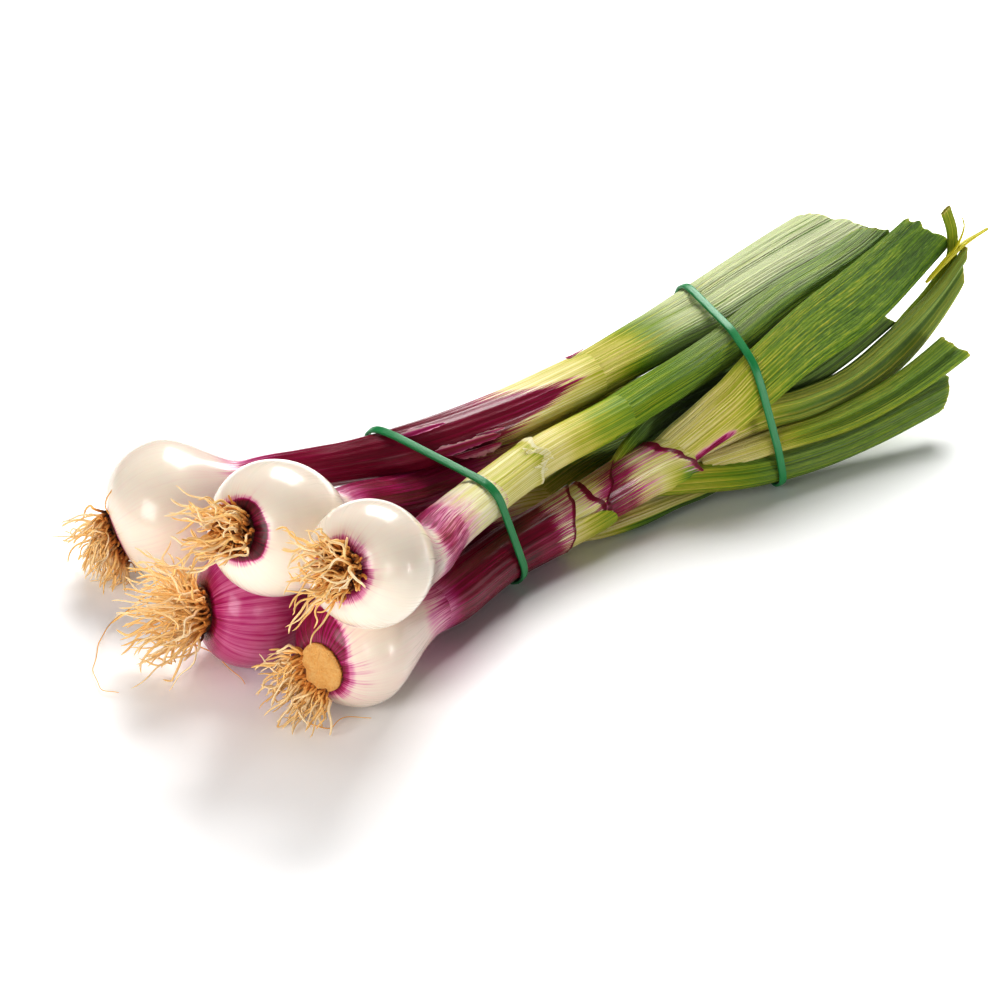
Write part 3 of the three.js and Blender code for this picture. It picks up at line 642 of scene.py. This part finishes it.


# Each leaf as in the solids: the way its face looks, its line and form rows of [share, half width, half
# thickness]; back is how far it starts before the line, slant and ragged give its cut. sap is its green at
# the base, at the share grows and at the tip; side [begins, whole, ends] are the turns of its shaded side,
# which dark paints a deeper green as painted shade. fold is a groove pressed into its face and painted a
# deeper green in it as shade, ridges are [turn, height, width], bloomAndSheen is its waxy bloom with a
# painted sheen, mottle its flecks, blush a purple edge at its base, and fork the line of a second tip.
leaves = {
    "onion_1_leaf_broad": dict(
        mottle=0.35, dark=0.12, side=(0.6, 0.85, 2.6),
        ridges=[(1.15, 0.3, 0.45), (-0.6, 0.05, 0.3)],
        face=(0, -0.25, 0.97), slant=9, ragged=2.0, sap=(0.29, 0.56, 0.68), grows=0.17, fold=0.2, bloomAndSheen=1.4,
        finish="green",
        line=[(42.8, 17, 49.2), (52, 17, 50.5), (67, 16.6, 53), (97, 16, 58.8), (119, 17, 62.8),
              (147, 19, 66.8), (181, 22.5, 69.6)],
        back=16,
        form=[(-0.1, 9.0, 8.0), (0, 9.5, 8.3), (0.2, 10.4, 7.8), (0.4, 11.5, 7.2), (1, 12.5, 4.6)]),
    "onion_1_leaf_rear": dict(
        face=(0, 0.6, 0.8), slant=5, ragged=1.5, sap=(0.5, 0.7, 0.75), fold=0.2, bloomAndSheen=0.6, finish="green",
        line=[(52, 28, 44), (97, 31.5, 48), (140, 37, 53), (172, 43, 55)],
        back=8,
        form=[(-0.07, 0.5, 0.4), (0.04, 3.4, 2.4), (0.3, 6.0, 3.2), (1, 7.0, 3.2)]),
    "onion_2_leaf": dict(
        face=up, slant=-6, ragged=1.5, sap=(0.3, 0.7, 0.8), fold=0.3, bloomAndSheen=0.4, finish="green",
        line=[(50.9, 14, 31.1), (72, 13.5, 33.5), (97, 13, 36.5), (135, 15, 42), (166, 19, 45)],
        form=[(0, 8.4, 8.2), (0.3, 7.8, 6.2), (1, 9.4, 4.2)]),
    "onion_3_leaf": dict(
        mottle=0.6,
        face=up, slant=5, ragged=1.0, sap=(0.53, 0.63, 0.68), fold=0.0, bloomAndSheen=0.4, finish="young",
        line=[(42, -1.4, 41.4), (51, -1, 42.8), (78.6, -2.6, 49.4), (93.3, -4.2, 54.7), (117, -3.8, 62.4),
              (150, -0.4, 66.4), (165, 2.1, 67.9), (178, 4.4, 70.6)],
        back=10,
        form=[(-0.08, 7.2, 7.0), (0, 7.45, 7.25), (0.4, 7.4, 7.0), (1, 7.2, 5.4)]),
    "onion_4_leaf_lower": dict(
        dark=0.55, side=(1.2, 1.4, 2.9),
        face=up, slant=6, ragged=1.0, sap=(0.16, 0.2, 0.66), fold=0.0, bloomAndSheen=0.2, finish="young",
        line=[(4, 2, 5.2), (16, -8, 4), (36, -11.4, 4), (56, -11.6, 4), (70, -12, 4), (90, -9, 5),
              (120, 0, 8), (148, 4, 11)],
        form=[(0, 6.4, 2.8), (0.1, 6.0, 2.5), (0.25, 6.8, 3.8), (0.42, 6.6, 2.6), (0.6, 7.0, 3.0),
              (1, 8.4, 3.4)]),
    "onion_4_leaf_rear": dict(
        face=up, slant=-5, ragged=1.5, sap=(0.3, 0.65, 0.8), fold=0.2, bloomAndSheen=0.4, finish="green",
        back=4,
        line=[(16, 8.2, 10), (45, 14, 12), (97, 18, 14), (130, 24, 18), (158, 31, 21)],
        form=[(0, 8.5, 6.9), (0.3, 8.2, 5.2), (1, 9.0, 4.0)]),
    "onion_5_leaf_flat": dict(
        mottle=0.9,
        face=toFront, slant=9, ragged=2.5, sap=(0.2, 0.56, 0.68), fold=0.2, bloomAndSheen=0.08, finish="green",
        line=[(64.5, -13.5, 27.5), (80.5, -18, 37.5), (95, -19, 45), (117.4, -18, 52.6),
              (151.5, -15.4, 59.6), (190, -9, 69.4), (202, -6.9, 73.2)],
        back=18, blush=0.64,
        form=[(-0.1, 8.0, 4.0), (0, 9.0, 5.0), (0.12, 10.0, 4.8), (0.25, 11.4, 4.2), (0.6, 13.2, 3.4),
              (1, 11.0, 2.8)]),
    "onion_5_leaf_channel": dict(
        face=toFront, slant=-7, ragged=1.0, sap=(0.12, 0.46, 0.5), grows=0.3, fold=0.8, bloomAndSheen=0.2,
        finish="young",
        line=[(64.5, -11.5, 20.7), (81, -14.5, 25), (96.7, -19, 28.2), (112.7, -22, 27.6),
              (139, -23, 28.5), (167, -22, 35.9), (190.5, -20, 47), (209, -18, 60.5)],
        back=14,
        form=[(-0.1, 7.0, 5.0), (0.06, 7.6, 5.0), (0.2, 6.4, 4.4), (0.4, 6.6, 3.6), (0.65, 7.8, 3.4),
              (1, 4.6, 2.6)]),
    "onion_5_leaf_inner": dict(
        face=toFront, slant=3, ragged=0.6, sap=(0.5, 0.66, 0.7), fold=0.3, bloomAndSheen=0.2, finish="green",
        line=[(80, -10.2, 27), (98, -14, 29.5), (119, -16, 33), (140, -16.4, 38), (168, -15, 46)],
        back=14,
        form=[(0, 3.4, 2.6), (0.4, 4.0, 2.6), (1, 4.2, 2.4)]),
    "onion_5_leaf_grooved": dict(
        mottle=0.4,
        face=toFront, slant=4, ragged=1.4, sap=(0.18, 0.48, 0.58), fold=0.7, bloomAndSheen=0.1, finish="green",
        line=[(82.5, -22, 18.6), (96, -26.5, 20.6), (122.6, -30, 20.4), (147.5, -32, 23),
              (167.6, -33.5, 28.2), (188, -35, 35.8)],
        back=16,
        form=[(-0.1, 4.0, 3.0), (0, 4.2, 3.2), (0.25, 4.4, 3.2), (0.6, 5.6, 3.2), (1, 7.0, 2.8)]),
    "onion_5_leaf_low": dict(
        mottle=0.5,
        face=toFront, slant=-4, ragged=1.2, sap=(0.4, 0.6, 0.64), fold=0.1, bloomAndSheen=0.2, finish="green",
        line=[(64.5, -16.8, 13), (82, -22.5, 10.8), (100, -25.5, 9), (123.7, -28.5, 8.6),
              (147.6, -31.5, 11), (182, -35.4, 17)],
        back=24,
        form=[(-0.2, 6.0, 5.0), (0, 6.2, 5.4), (0.15, 6.2, 5.4), (0.4, 6.2, 5.0), (1, 6.2, 4.4)]),
    "onion_5_leaf_back": dict(
        face=(0, -1, 0.2), slant=2, ragged=0.6, sap=(0.3, 0.7, 0.85), fold=0.2, bloomAndSheen=0.2, finish="green",
        line=[(28, -9, 22), (40, -6, 28), (55, -2, 31.5), (75, 1.5, 33), (104, 1.5, 33)],
        form=[(0, 2.4, 1.8), (0.2, 3.6, 2.0), (0.5, 4.8, 2.2), (1, 4.0, 1.8)]),
    "onion_5_leaf_strap": dict(
        face=(-0.56, -0.66, 0.5), slant=1, ragged=0.3, sap=(0.46, 0.44, 0.46), fold=0.0, bloomAndSheen=0.0,
        finish="young",
        line=[(164, -15.5, 34), (178, -13.6, 40.5), (192.4, -13, 48.1), (202.4, -13.4, 58.2),
              (202.6, -13.0, 69), (196.2, -13.7, 82)],
        form=[(0, 1.6, 0.7), (1, 2.2, 0.6)]),
    "onion_5_sprout": dict(
        fork=[(196, -16.4, 60), (203, -16.2, 66), (206, -15.8, 72), (205, -15.4, 76)],
        face=up, slant=0, ragged=0.0, sap=(0.3, 0.3, 0.3), fold=0.0, bloomAndSheen=0.0, finish="sprout",
        back=-27,
        line=[(162, -18, 42.6), (173, -16.8, 47), (188, -16, 55.4), (204, -16.4, 64.4), (218, -17.6, 68.4)],
        form=[(0.38, 0.2, 0.2), (0.5, 0.9, 0.8), (0.7, 1.2, 1.0), (1, 0.6, 0.5)]),
}
leafRows = 200
leafColumns = 84
mouthDepth = 12.0   # how far the open mouth goes in, at most
mouthWall = 0.45   # the thickness of the wall there, at most
shadySide = (0.6, 0.85, 2.6)


# a flattened tube with ribs, whose face can be pressed into a groove; at the cut the wall turns in and runs
# back inside, then both ends are shut
def makeLeaf(name, leaf, seed):
    line = Line(leaf["line"])
    turn = np.linspace(-math.pi, math.pi, leafColumns, endpoint=False)[None, :]
    start = -leaf.get("back", 0.0)
    uneven = leaf["ragged"] * np.abs(wander(seed, turn, turn, 12, 0.6)) * 0.4
    cut = line.total - abs(leaf["slant"]) + leaf["slant"] * np.sin(turn) + uneven
    skin = Skin(name + "_blade")

    # the surface at each millimetre along, drawn in by inset
    def wall(place, inset):
        share = place / line.total
        wide = readRows(leaf["form"], share, 1) - inset
        thick = np.maximum(readRows(leaf["form"], share, 2) - inset, 0.1)
        firm = np.clip(thick, 0, 2) / 2
        ribs = np.sin(turn * 23 + wander(seed + 1, turn, place, 3)) * 0.13 * firm
        ribs = ribs + np.sin(turn * 9 + wander(seed + 5, turn, place, 3)) * 0.14 * firm
        sag = wander(seed + 2, turn, place * 1.5, 3, 1.2) * 0.05 * thick
        groove = np.exp(-(np.sin(turn) / 0.3) ** 2) * (np.cos(turn) > 0)
        press = leaf["fold"] * ease(0.1, 0.4, share) * groove
        thick = thick * (1.0 - press * 1.1) + ribs + sag
        for spot, height, width in leaf.get("ridges", ()):
            lift = height * np.exp(-((turn - spot) / width) ** 2) * ease(0.15, 0.45, share)
            wide = wide * (1.0 + lift)
            thick = thick * (1.0 + lift)
        wholeTurn = turn + 0.0 * place
        points = swept(line, leaf["face"], place, wholeTurn, wide + ribs, thick)
        base, grown, tip = leaf["sap"]
        greens = [(0, base), (leaf.get("grows", 0.32), grown), (1, tip)]
        sap = readRows(greens, share + 0.04 * wander(seed + 3, turn, place, 5, 0.7), 1)
        dry = 0.0 * share + 0.25 * np.exp(-(cut - place) / 1.0) * (leaf["ragged"] > 0)
        begins, whole, ends = leaf.get("side", shadySide)
        # painted shade: a deeper green over the turns of the leaf's shaded side
        shadedSide = ease(begins, whole, turn) * ease(ends + 0.2, ends, turn) * ease(0.1, 0.3, share)
        sap = sap + leaf.get("dark", 0.0) * shadedSide
        rim = leaf.get("blush", 0.0) * ease(0.3, 0.8, np.sin(turn)) * ease(0.14, 0.06, share)
        rim = rim * (np.cos(turn) > -0.3)
        # waxy bloom and a painted sheen, mostly kept off the painted shaded side
        bloomAndSheen = leaf["bloomAndSheen"] * ease(0.1, 0.4, share) * (1.0 - 0.7 * shadedSide)
        flecks = leaf.get("mottle", 0.1) * ease(0.15, 0.4, share)
        # painted shade: the pressed groove is drawn a deeper green
        tone = np.stack([rim + 0.0 * share, sap - dry + 0.26 * press ** 3, bloomAndSheen, flecks], axis=-1)
        skin.add(points, tone, patternPlace(wholeTurn, place, seed * 0.37))
        return points

    share = np.linspace(0.0, 1.0, leafRows)[:, None]
    outer = wall(start + (cut - start) * share, 0.0)
    back = np.linspace(0.0, 1.0, 14)[:, None]
    depth = min(mouthDepth, 0.3 * line.total)
    thin = min(mouthWall, 0.4 * leaf["form"][-1][2])
    inner = wall(cut - back * depth, thin * ease(0.0, 0.03, back) + 0.3 * back)
    for ring, flip in ((outer[:1], True), (inner[-1:], False)):
        skin.add(lid(ring, 6), np.array([0.0, leaf["sap"][0], 0.0, 0.0]),
                 patternPlace(turn, 0.0 * turn, 0.0), flip=flip)
    if "fork" in leaf:
        branch = Line(leaf["fork"])
        place = np.linspace(0.0, branch.total, 30)[:, None] + 0.0 * turn
        wholeTurn = turn + 0.0 * place
        thin = 0.8 - 0.6 * place / branch.total
        skin.add(swept(branch, leaf["face"], place, wholeTurn, thin, thin),
                 np.array([0.0, 0.3, 0.0, 0.0]), patternPlace(wholeTurn, place, 1.0))
    return skin.build(*finishes[leaf["finish"]], name)


for number, (name, leaf) in enumerate(leaves.items()):
    makeLeaf(name, leaf, 40 + 7 * number)
# the cut leaf low on the fifth onion hugs the stem and ends round
stub = dict(place=120, turn=0.78, long=32, wide=0.85, curl=0.1, blush=0.0, blunt=True, lift=1.7, thick=0.4,
            sap=(0.18, 0.46))
stubSkin = Skin("onion_5_leaf_stub_blade")
addFlap(stubSkin, onions["onion_5"], stub, 77)
stubSkin.build(*finishes["young"], "onion_5_leaf_stub")
print("leaves made")


# Each tuft: how many short stubs and long roots grow on the plate, how long the long ones are, the way they
# are combed, how wide they spread, how much they wind and how they droop; plate is the plate's radius as a
# share of the bulb's, bald the turn that grows no roots (its middle and half its range, in radians), and
# wisps are single stray roots, each a line.
tufts = {
    "onion_1": dict(seed=11, stubs=150, count=170, long=19, combed=(-0.2, -0.2, -0.5), spread=0.6,
                    wind=1.1, droop=0.9, plate=0.34,
                    wisps=[[(-126, 80, 17), (-134.6, 91.9, 14), (-140, 100.5, 12)],
                           [(-127, 79, 22), (-131, 74, 34), (-122, 78, 42), (-112, 82, 45.5)]]),
    "onion_2": dict(seed=23, stubs=170, count=80, long=19, combed=(-0.5, 0.5, 0.1), spread=0.5, wind=1.0,
                    droop=0.1, plate=0.34),
    "onion_3": dict(seed=35, stubs=170, count=100, long=18, combed=(-0.3, 0.35, -0.1), spread=0.6,
                    wind=1.0, droop=0.4, plate=0.34),
    "onion_4": dict(seed=47, stubs=180, count=170, long=26, combed=(-0.35, 0.5, 0.2), spread=0.75,
                    wind=0.9, droop=0.3, plate=0.36,
                    wisps=[[(-134, 26, 22), (-131.3, 50.1, 8), (-147.6, 50.9, 2), (-162.9, 36.7, 1.2),
                            (-171, 21, 1.2), (-167.4, 14.5, 1.4)],
                           [(-138, 16, 14), (-133.6, 22.7, 4), (-130.7, 12.1, 2), (-131, 0, 1.2),
                            (-132.9, -8.3, 1.2)]]),
    "onion_5": dict(seed=59, stubs=110, count=130, long=19, combed=(-0.4, 0.1, -0.3), spread=0.9,
                    wind=1.0, droop=0.3, plate=0.42, bald=(2.3, 2.0),
                    wisps=[[(-125, -36, 12), (-126.5, -33, 4), (-130, -37, 2), (-127, -46.5, 1.2),
                            (-118, -45, 1.4), (-113, -50.9, 1.2)]]),
}
rootRings = 18
rootSides = 5
rootFloor = 1.0   # no root comes lower than this above the table
goldenTurn = 2.39996
bulbSunk = 4.5   # how far a root may lie inside its own bulb's guard
guards = [(name, np.array(onion["line"][1]), onion["bulb"] + 1.0) for name, onion in onions.items()]


# a stray root: a thin tapering tube along its line, with a small sine across it
def addWisp(skin, points):
    wisp = Line(points)
    turn = np.linspace(0.0, 2.0 * math.pi, rootSides, endpoint=False)
    place = np.linspace(0.0, wisp.total, 60)[:, None] + 0.0 * turn
    thin = 0.3 - 0.16 * place / wisp.total
    tube = swept(wisp, (0.3, 0.4, 0.86), place, turn + 0.0 * place, thin, thin)
    beat = np.array([0.33, 0.41, 0.0])
    tube = tube + 0.5 * np.sin(place[..., None] * beat + np.array([0.0, 2.0, 0.0]))
    tone = np.zeros(tube.shape[:2] + (4,))
    tone[..., 0] = 0.45 + 0.25 * place / wisp.total
    skin.add(tube, tone, tube / 10.0)


# the plate: a low lumpy dome under the roots, its width a sine and its height a cosine of the share from its
# top; bare and tan where no root grows
def addPlate(skin, tuft, plate, centre, side, rise, out):
    dome = np.linspace(0.0, 1.0, 30)[:, None]
    circle = np.linspace(0.0, 2.0 * math.pi, 64, endpoint=False)[None, :]
    bald = "bald" in tuft
    width = plate * np.sin(dome * math.pi / 2) ** 0.8
    lump = 0.3 * wander(tuft["seed"], circle, dome * 40, 9, 0.3) * dome * (1.0 - dome) * 4.0
    height = (3.2 if bald else 1.8) * np.cos(dome * math.pi / 2) ** 0.5 + lump - 0.4
    cap = centre + side * (width * np.cos(circle))[..., None]
    cap = cap + rise * (width * np.sin(circle))[..., None]
    cap = cap + out * (height + 0.0 * circle)[..., None]
    tone = np.zeros(cap.shape[:2] + (4,))
    tone[..., 0] = 0.08
    if bald:
        tone[..., 0] = 0.1 + 0.48 * ease(1.0, 0.86, dome)
        tone[..., 1] = 1.0
    skin.add(cap, tone, cap / 10.0)


# winding roots: each starts on the plate and its heading wanders in sines while it droops; the way is the sum
# of the headings; each spot is pushed clear of the bulbs and of the table
def makeTuft(name, tuft):
    onion = onions[name]
    draw = np.random.default_rng(tuft["seed"])
    centre, heading = onion["curve"].at(np.array([0.0]))
    out = -heading[0]
    side = np.cross(out, up)
    side /= np.linalg.norm(side)
    rise = np.cross(side, out)
    plate = tuft["plate"] * onion["bulb"]
    stubs = tuft["stubs"]
    count = stubs + tuft["count"]
    stub = np.arange(count) < stubs
    bald = "bald" in tuft
    angle = (draw.permutation(count) * goldenTurn) % (2.0 * math.pi)
    if bald:
        middle, half = tuft["bald"]
        angle = middle + half + angle / (2.0 * math.pi) * (2.0 * math.pi - 2.0 * half)
    reach = plate * 0.95 * np.sqrt(draw.uniform(0.5 if bald else 0.0, 1.0, count))
    outward = side * np.cos(angle)[:, None] + rise * np.sin(angle)[:, None]
    start = centre + outward * reach[:, None] + out * 0.3
    long = np.where(stub, draw.uniform(2.2, 6.5, count), tuft["long"] * draw.uniform(0.45, 1.25, count))
    way = out * 0.8 + outward * (tuft["spread"] * (0.2 + reach / plate))[:, None]
    combed = np.array(tuft["combed"]) * draw.uniform(0.4, 1.4, (count, 1))
    way = way + combed * np.where(stub, 0.5, 1.0)[:, None]
    way /= np.linalg.norm(way, axis=1, keepdims=True)
    t = np.linspace(0.0, 1.0, rootRings)[None, :, None]
    course = way[:, None] + 0.0 * t
    for size, slow, fast in ((0.55, 1.5, 4.0), (0.4, 4.0, 9.0), (0.25, 9.0, 16.0)):
        beat = draw.uniform(slow, fast, (count, 1, 3))
        phase = draw.uniform(0.0, 2.0 * math.pi, (count, 1, 3))
        course = course + tuft["wind"] * size * np.sin(beat * t + phase) * np.minimum(1.0, 4.0 * t)
    droop = np.array([0.0, 0.0, tuft["droop"]])
    course = course - droop * t * np.where(stub, 0.2, 1.0)[:, None, None]
    course /= np.linalg.norm(course, axis=-1, keepdims=True)
    spots = start[:, None] + np.cumsum(course, axis=1) * (long / rootRings)[:, None, None]
    for _ in range(3):
        for own, middle, radius in guards:
            away = spots - middle
            far = np.linalg.norm(away, axis=-1, keepdims=True)
            limit = radius if own != name else radius - bulbSunk
            spots = np.where(far < limit, middle + away / far * limit, spots)
        spots[..., 2] = np.maximum(spots[..., 2], rootFloor)
    heading = np.gradient(spots, axis=1)
    heading /= np.linalg.norm(heading, axis=-1, keepdims=True) + 1e-9
    first = np.cross(heading, np.array([0.31, 0.52, 0.79]))
    first /= np.linalg.norm(first, axis=-1, keepdims=True)
    second = np.cross(first, heading)
    radius = np.where(stub, draw.uniform(0.55, 0.9, count), draw.uniform(0.36, 0.7, count))[:, None]
    radius = radius * (1.0 - 0.5 * t[0, :, 0])
    radius[:, -1] *= 0.3
    turn = np.linspace(0.0, 2.0 * math.pi, rootSides, endpoint=False)
    ring = first[:, :, None] * np.sin(turn)[:, None] + second[:, :, None] * np.cos(turn)[:, None]
    ring = spots[:, :, None] + radius[..., None, None] * ring
    shade = draw.uniform(-0.16, 0.14, (count, 1))
    reached = (t[0, :, 0] * long[:, None]) / 7.0
    straw = np.clip(0.04 + 0.8 * np.minimum(1.0, reached) ** 0.8 + shade, 0.0, 1.0)
    straw = straw * np.where(stub, draw.uniform(0.25, 0.95, count), 1.0)[:, None]
    tone = np.zeros(ring.shape[:3] + (4,))
    tone[..., 0] = straw[..., None]
    skin = Skin(name + "_tuft")
    for i in range(count):
        skin.add(ring[i], tone[i], ring[i] / 10.0)
    for points in tuft.get("wisps", ()):
        addWisp(skin, points)
    addPlate(skin, tuft, plate, centre, side, rise, out)
    return skin.build(*finishes["root"], name + "_roots")


for name, tuft in tufts.items():
    makeTuft(name, tuft)
print("roots made")


# The bands: a point of the plane each lies in and the plane's normal
bands = {
    "rubber_band_lower": dict(point=(-33.5, 5, 25), normal=(0.94, 0.16, 0.29)),
    "rubber_band_upper": dict(point=(96, -2, 38), normal=(0.96, -0.2, 0.2)),
}
bandWidth = 3.0
bandThickness = 1.2
bandGap = 0.25   # air between the band and the stems


# a flat band stretched round what passes through its plane: the outline that a taut loop takes is, in every
# direction, the farthest spot of the dressed stems, moved out by half the band
def makeBand(name, band):
    normal = np.array(band["normal"], float)
    normal /= np.linalg.norm(normal)
    first = np.cross(up, normal)
    first /= np.linalg.norm(first)
    second = np.cross(normal, first)
    point = np.array(band["point"], float)
    inside = []
    for piece in bpy.context.scene.objects:
        if piece.type == "MESH" and piece.name.endswith(("_skin", "_blade")):
            spots = np.empty(len(piece.data.vertices) * 3, np.float32)
            piece.data.vertices.foreach_get("co", spots)
            spots = spots.reshape(-1, 3) / millimetre + bunchCentre - point
            spots = spots[np.abs(spots @ normal) < bandWidth * 0.55]
            inside.append(np.stack([spots @ first, spots @ second], axis=1))
    inside = np.vstack(inside)
    angle = np.linspace(0.0, 2.0 * math.pi, 240, endpoint=False)
    ray = np.stack([np.cos(angle), np.sin(angle)], axis=1)
    farthest = inside[np.argmax(inside @ ray.T, axis=0)]
    middle = farthest + ray * (bandGap + bandThickness / 2)
    # even steps along the loop, a little rounded
    closed = np.vstack([middle, middle[:1]])
    reach = np.concatenate([[0.0], np.cumsum(np.linalg.norm(np.diff(closed, axis=0), axis=1))])
    steps = np.linspace(0.0, reach[-1], 360, endpoint=False)
    path = np.stack([np.interp(steps, reach, closed[:, k]) for k in (0, 1)], axis=1)
    for _ in range(4):
        path = (np.roll(path, 1, axis=0) + 2 * path + np.roll(path, -1, axis=0)) / 4
    ahead = np.roll(path, -1, axis=0) - np.roll(path, 1, axis=0)
    outward = np.stack([ahead[:, 1], -ahead[:, 0]], axis=1)
    outward /= np.linalg.norm(outward, axis=1)[:, None]
    turn = np.linspace(0.0, 2.0 * math.pi, 20, endpoint=False)
    edge = np.sign(np.cos(turn)) * np.abs(np.cos(turn)) ** 0.5 * bandThickness / 2
    flat = np.sign(np.sin(turn)) * np.abs(np.sin(turn)) ** 0.5 * bandWidth / 2
    plane = path[:, None] + outward[:, None] * edge[None, :, None]
    points = point + plane[..., :1] * first + plane[..., 1:] * second + flat[None, :, None] * normal
    skin = Skin(name + "_loop")
    steps = steps[:, None]
    place = np.stack([steps / 10 + 0 * turn, np.sin(turn) + 0 * steps, np.cos(turn) + 0 * steps], axis=-1)
    points = np.concatenate([points, points[:1]])
    place = np.concatenate([place, place[:1]])
    skin.add(points, np.array([0.5, 0.0, 0.0, 0.0]), place, flip=True)
    return skin.build(*finishes["rubber"], name)


for name, band in bands.items():
    makeBand(name, band)
print("bands made")


# White table, a soft box behind on the right, one from the left, two soft spots on the leaves and the bulbs,
# and the camera at the photograph's place. Lights are in metres, the camera in millimetres; glow stops are
# (share of glowReach, white) and say where the table lights itself.
studio = dict(
    azimuth=40.0, elevation=30.0, distance=985.0, target=(-15.0, 0.0, 25.0), lens=100.0, sensor=36.0,
    lights=dict(
        above=dict(place=(0.54, 0.42, 0.85), size=0.62, power=15.5),
        right=dict(place=(0.6, -1.1, 0.13), size=0.4, power=32.0, aim=(0.12, -0.02, 0.035), cone=24.0),
        left=dict(place=(-0.85, -0.15, 0.36), size=0.4, power=3.6),
        front=dict(place=(-0.5, -0.95, 0.42), size=0.35, power=5.0, aim=(-0.15, -0.03, 0.04), cone=26.0),
    ),
    tableHalf=30.0, tableWhite=0.96, tableRoughness=0.6,
    glowReach=1.5, glowSquash=0.75, glow=((0.068, 0.0), (0.14, 0.42), (1.0, 1.0)),
    sky=0.08, exposure=0.12, gamma=0.86,
)


# an even grey as a colour
def grey(value):
    return (value, value, value, 1.0)


# a large square white table with a painted glow: none near the bunch, growing to white with the distance from
# it
def makeFloor():
    mesh = bpy.data.meshes.new("table")
    side = studio["tableHalf"]
    corners = [(-side, -side, 0), (side, -side, 0), (side, side, 0), (-side, side, 0)]
    mesh.from_pydata(corners, [], [(0, 1, 2, 3)])
    material = bpy.data.materials.new("white table")
    material.use_nodes = True
    shader = material.node_tree.nodes["Principled BSDF"]
    shader.inputs["Base Color"].default_value = grey(studio["tableWhite"])
    shader.inputs["Roughness"].default_value = studio["tableRoughness"]
    shader.inputs["Emission Strength"].default_value = 1.0
    root = Socket(material.node_tree, None)
    spot = root.node("ShaderNodeTexCoord", out="Object").stretch(studio["glowSquash"], 1.0, 1.0)
    far = spot.node("ShaderNodeVectorMath", {"operation": "LENGTH"}, out="Value", i0=spot)
    share = far.math("DIVIDE", studio["glowReach"], clamp=True)
    glow = share.ramp(*[(place, grey(white)) for place, white in studio["glow"]])
    material.node_tree.links.new(glow.link, shader.inputs["Emission Color"])
    mesh.materials.append(material)
    floor = bpy.data.objects.new("table", mesh)
    bpy.context.scene.collection.objects.link(floor)


# turn that points an object's -Z from one spot to another
def lookAt(place, target):
    return (Vector(target) - Vector(place)).to_track_quat("-Z", "Y").to_euler()


# a square soft box, or a soft spot where a cone is given in degrees
def makeLight(name, place, size, power, aim=(0.0, 0.0, 0.02), cone=None):
    lamp = bpy.data.lights.new(name, "SPOT" if cone else "AREA")
    lamp.energy = power
    if cone:
        lamp.spot_size = math.radians(cone)
        lamp.spot_blend = 1.0
        lamp.shadow_soft_size = size / 2
    else:
        lamp.size = size
    light = bpy.data.objects.new(name, lamp)
    light.location = place
    light.rotation_euler = lookAt(place, aim)
    bpy.context.scene.collection.objects.link(light)


# the camera stands back from its target by the distance, along the azimuth and elevation
def makeCamera():
    azimuth = math.radians(studio["azimuth"])
    elevation = math.radians(studio["elevation"])
    level = math.cos(elevation)
    forward = np.array([math.sin(azimuth) * level, math.cos(azimuth) * level, -math.sin(elevation)])
    target = (np.array(studio["target"]) - bunchCentre) * millimetre
    place = target - forward * studio["distance"] * millimetre
    lens = bpy.data.cameras.new("camera")
    lens.lens = studio["lens"]
    lens.sensor_width = studio["sensor"]
    camera = bpy.data.objects.new("camera", lens)
    camera.location = place
    camera.rotation_euler = lookAt(place, target)
    bpy.context.scene.collection.objects.link(camera)
    bpy.context.scene.camera = camera


# an even white sky and the way brightness is shown
def makeSky():
    world = bpy.data.worlds.new("studio")
    bpy.context.scene.world = world
    world.use_nodes = True
    sky = world.node_tree.nodes["Background"]
    sky.inputs["Color"].default_value = grey(1.0)
    sky.inputs["Strength"].default_value = studio["sky"]
    shown = bpy.context.scene.view_settings
    shown.view_transform = "Standard"
    shown.exposure = studio["exposure"]
    shown.gamma = studio["gamma"]


makeFloor()
for name, light in studio["lights"].items():
    makeLight(name, **light)
makeCamera()
makeSky()
print("studio made")
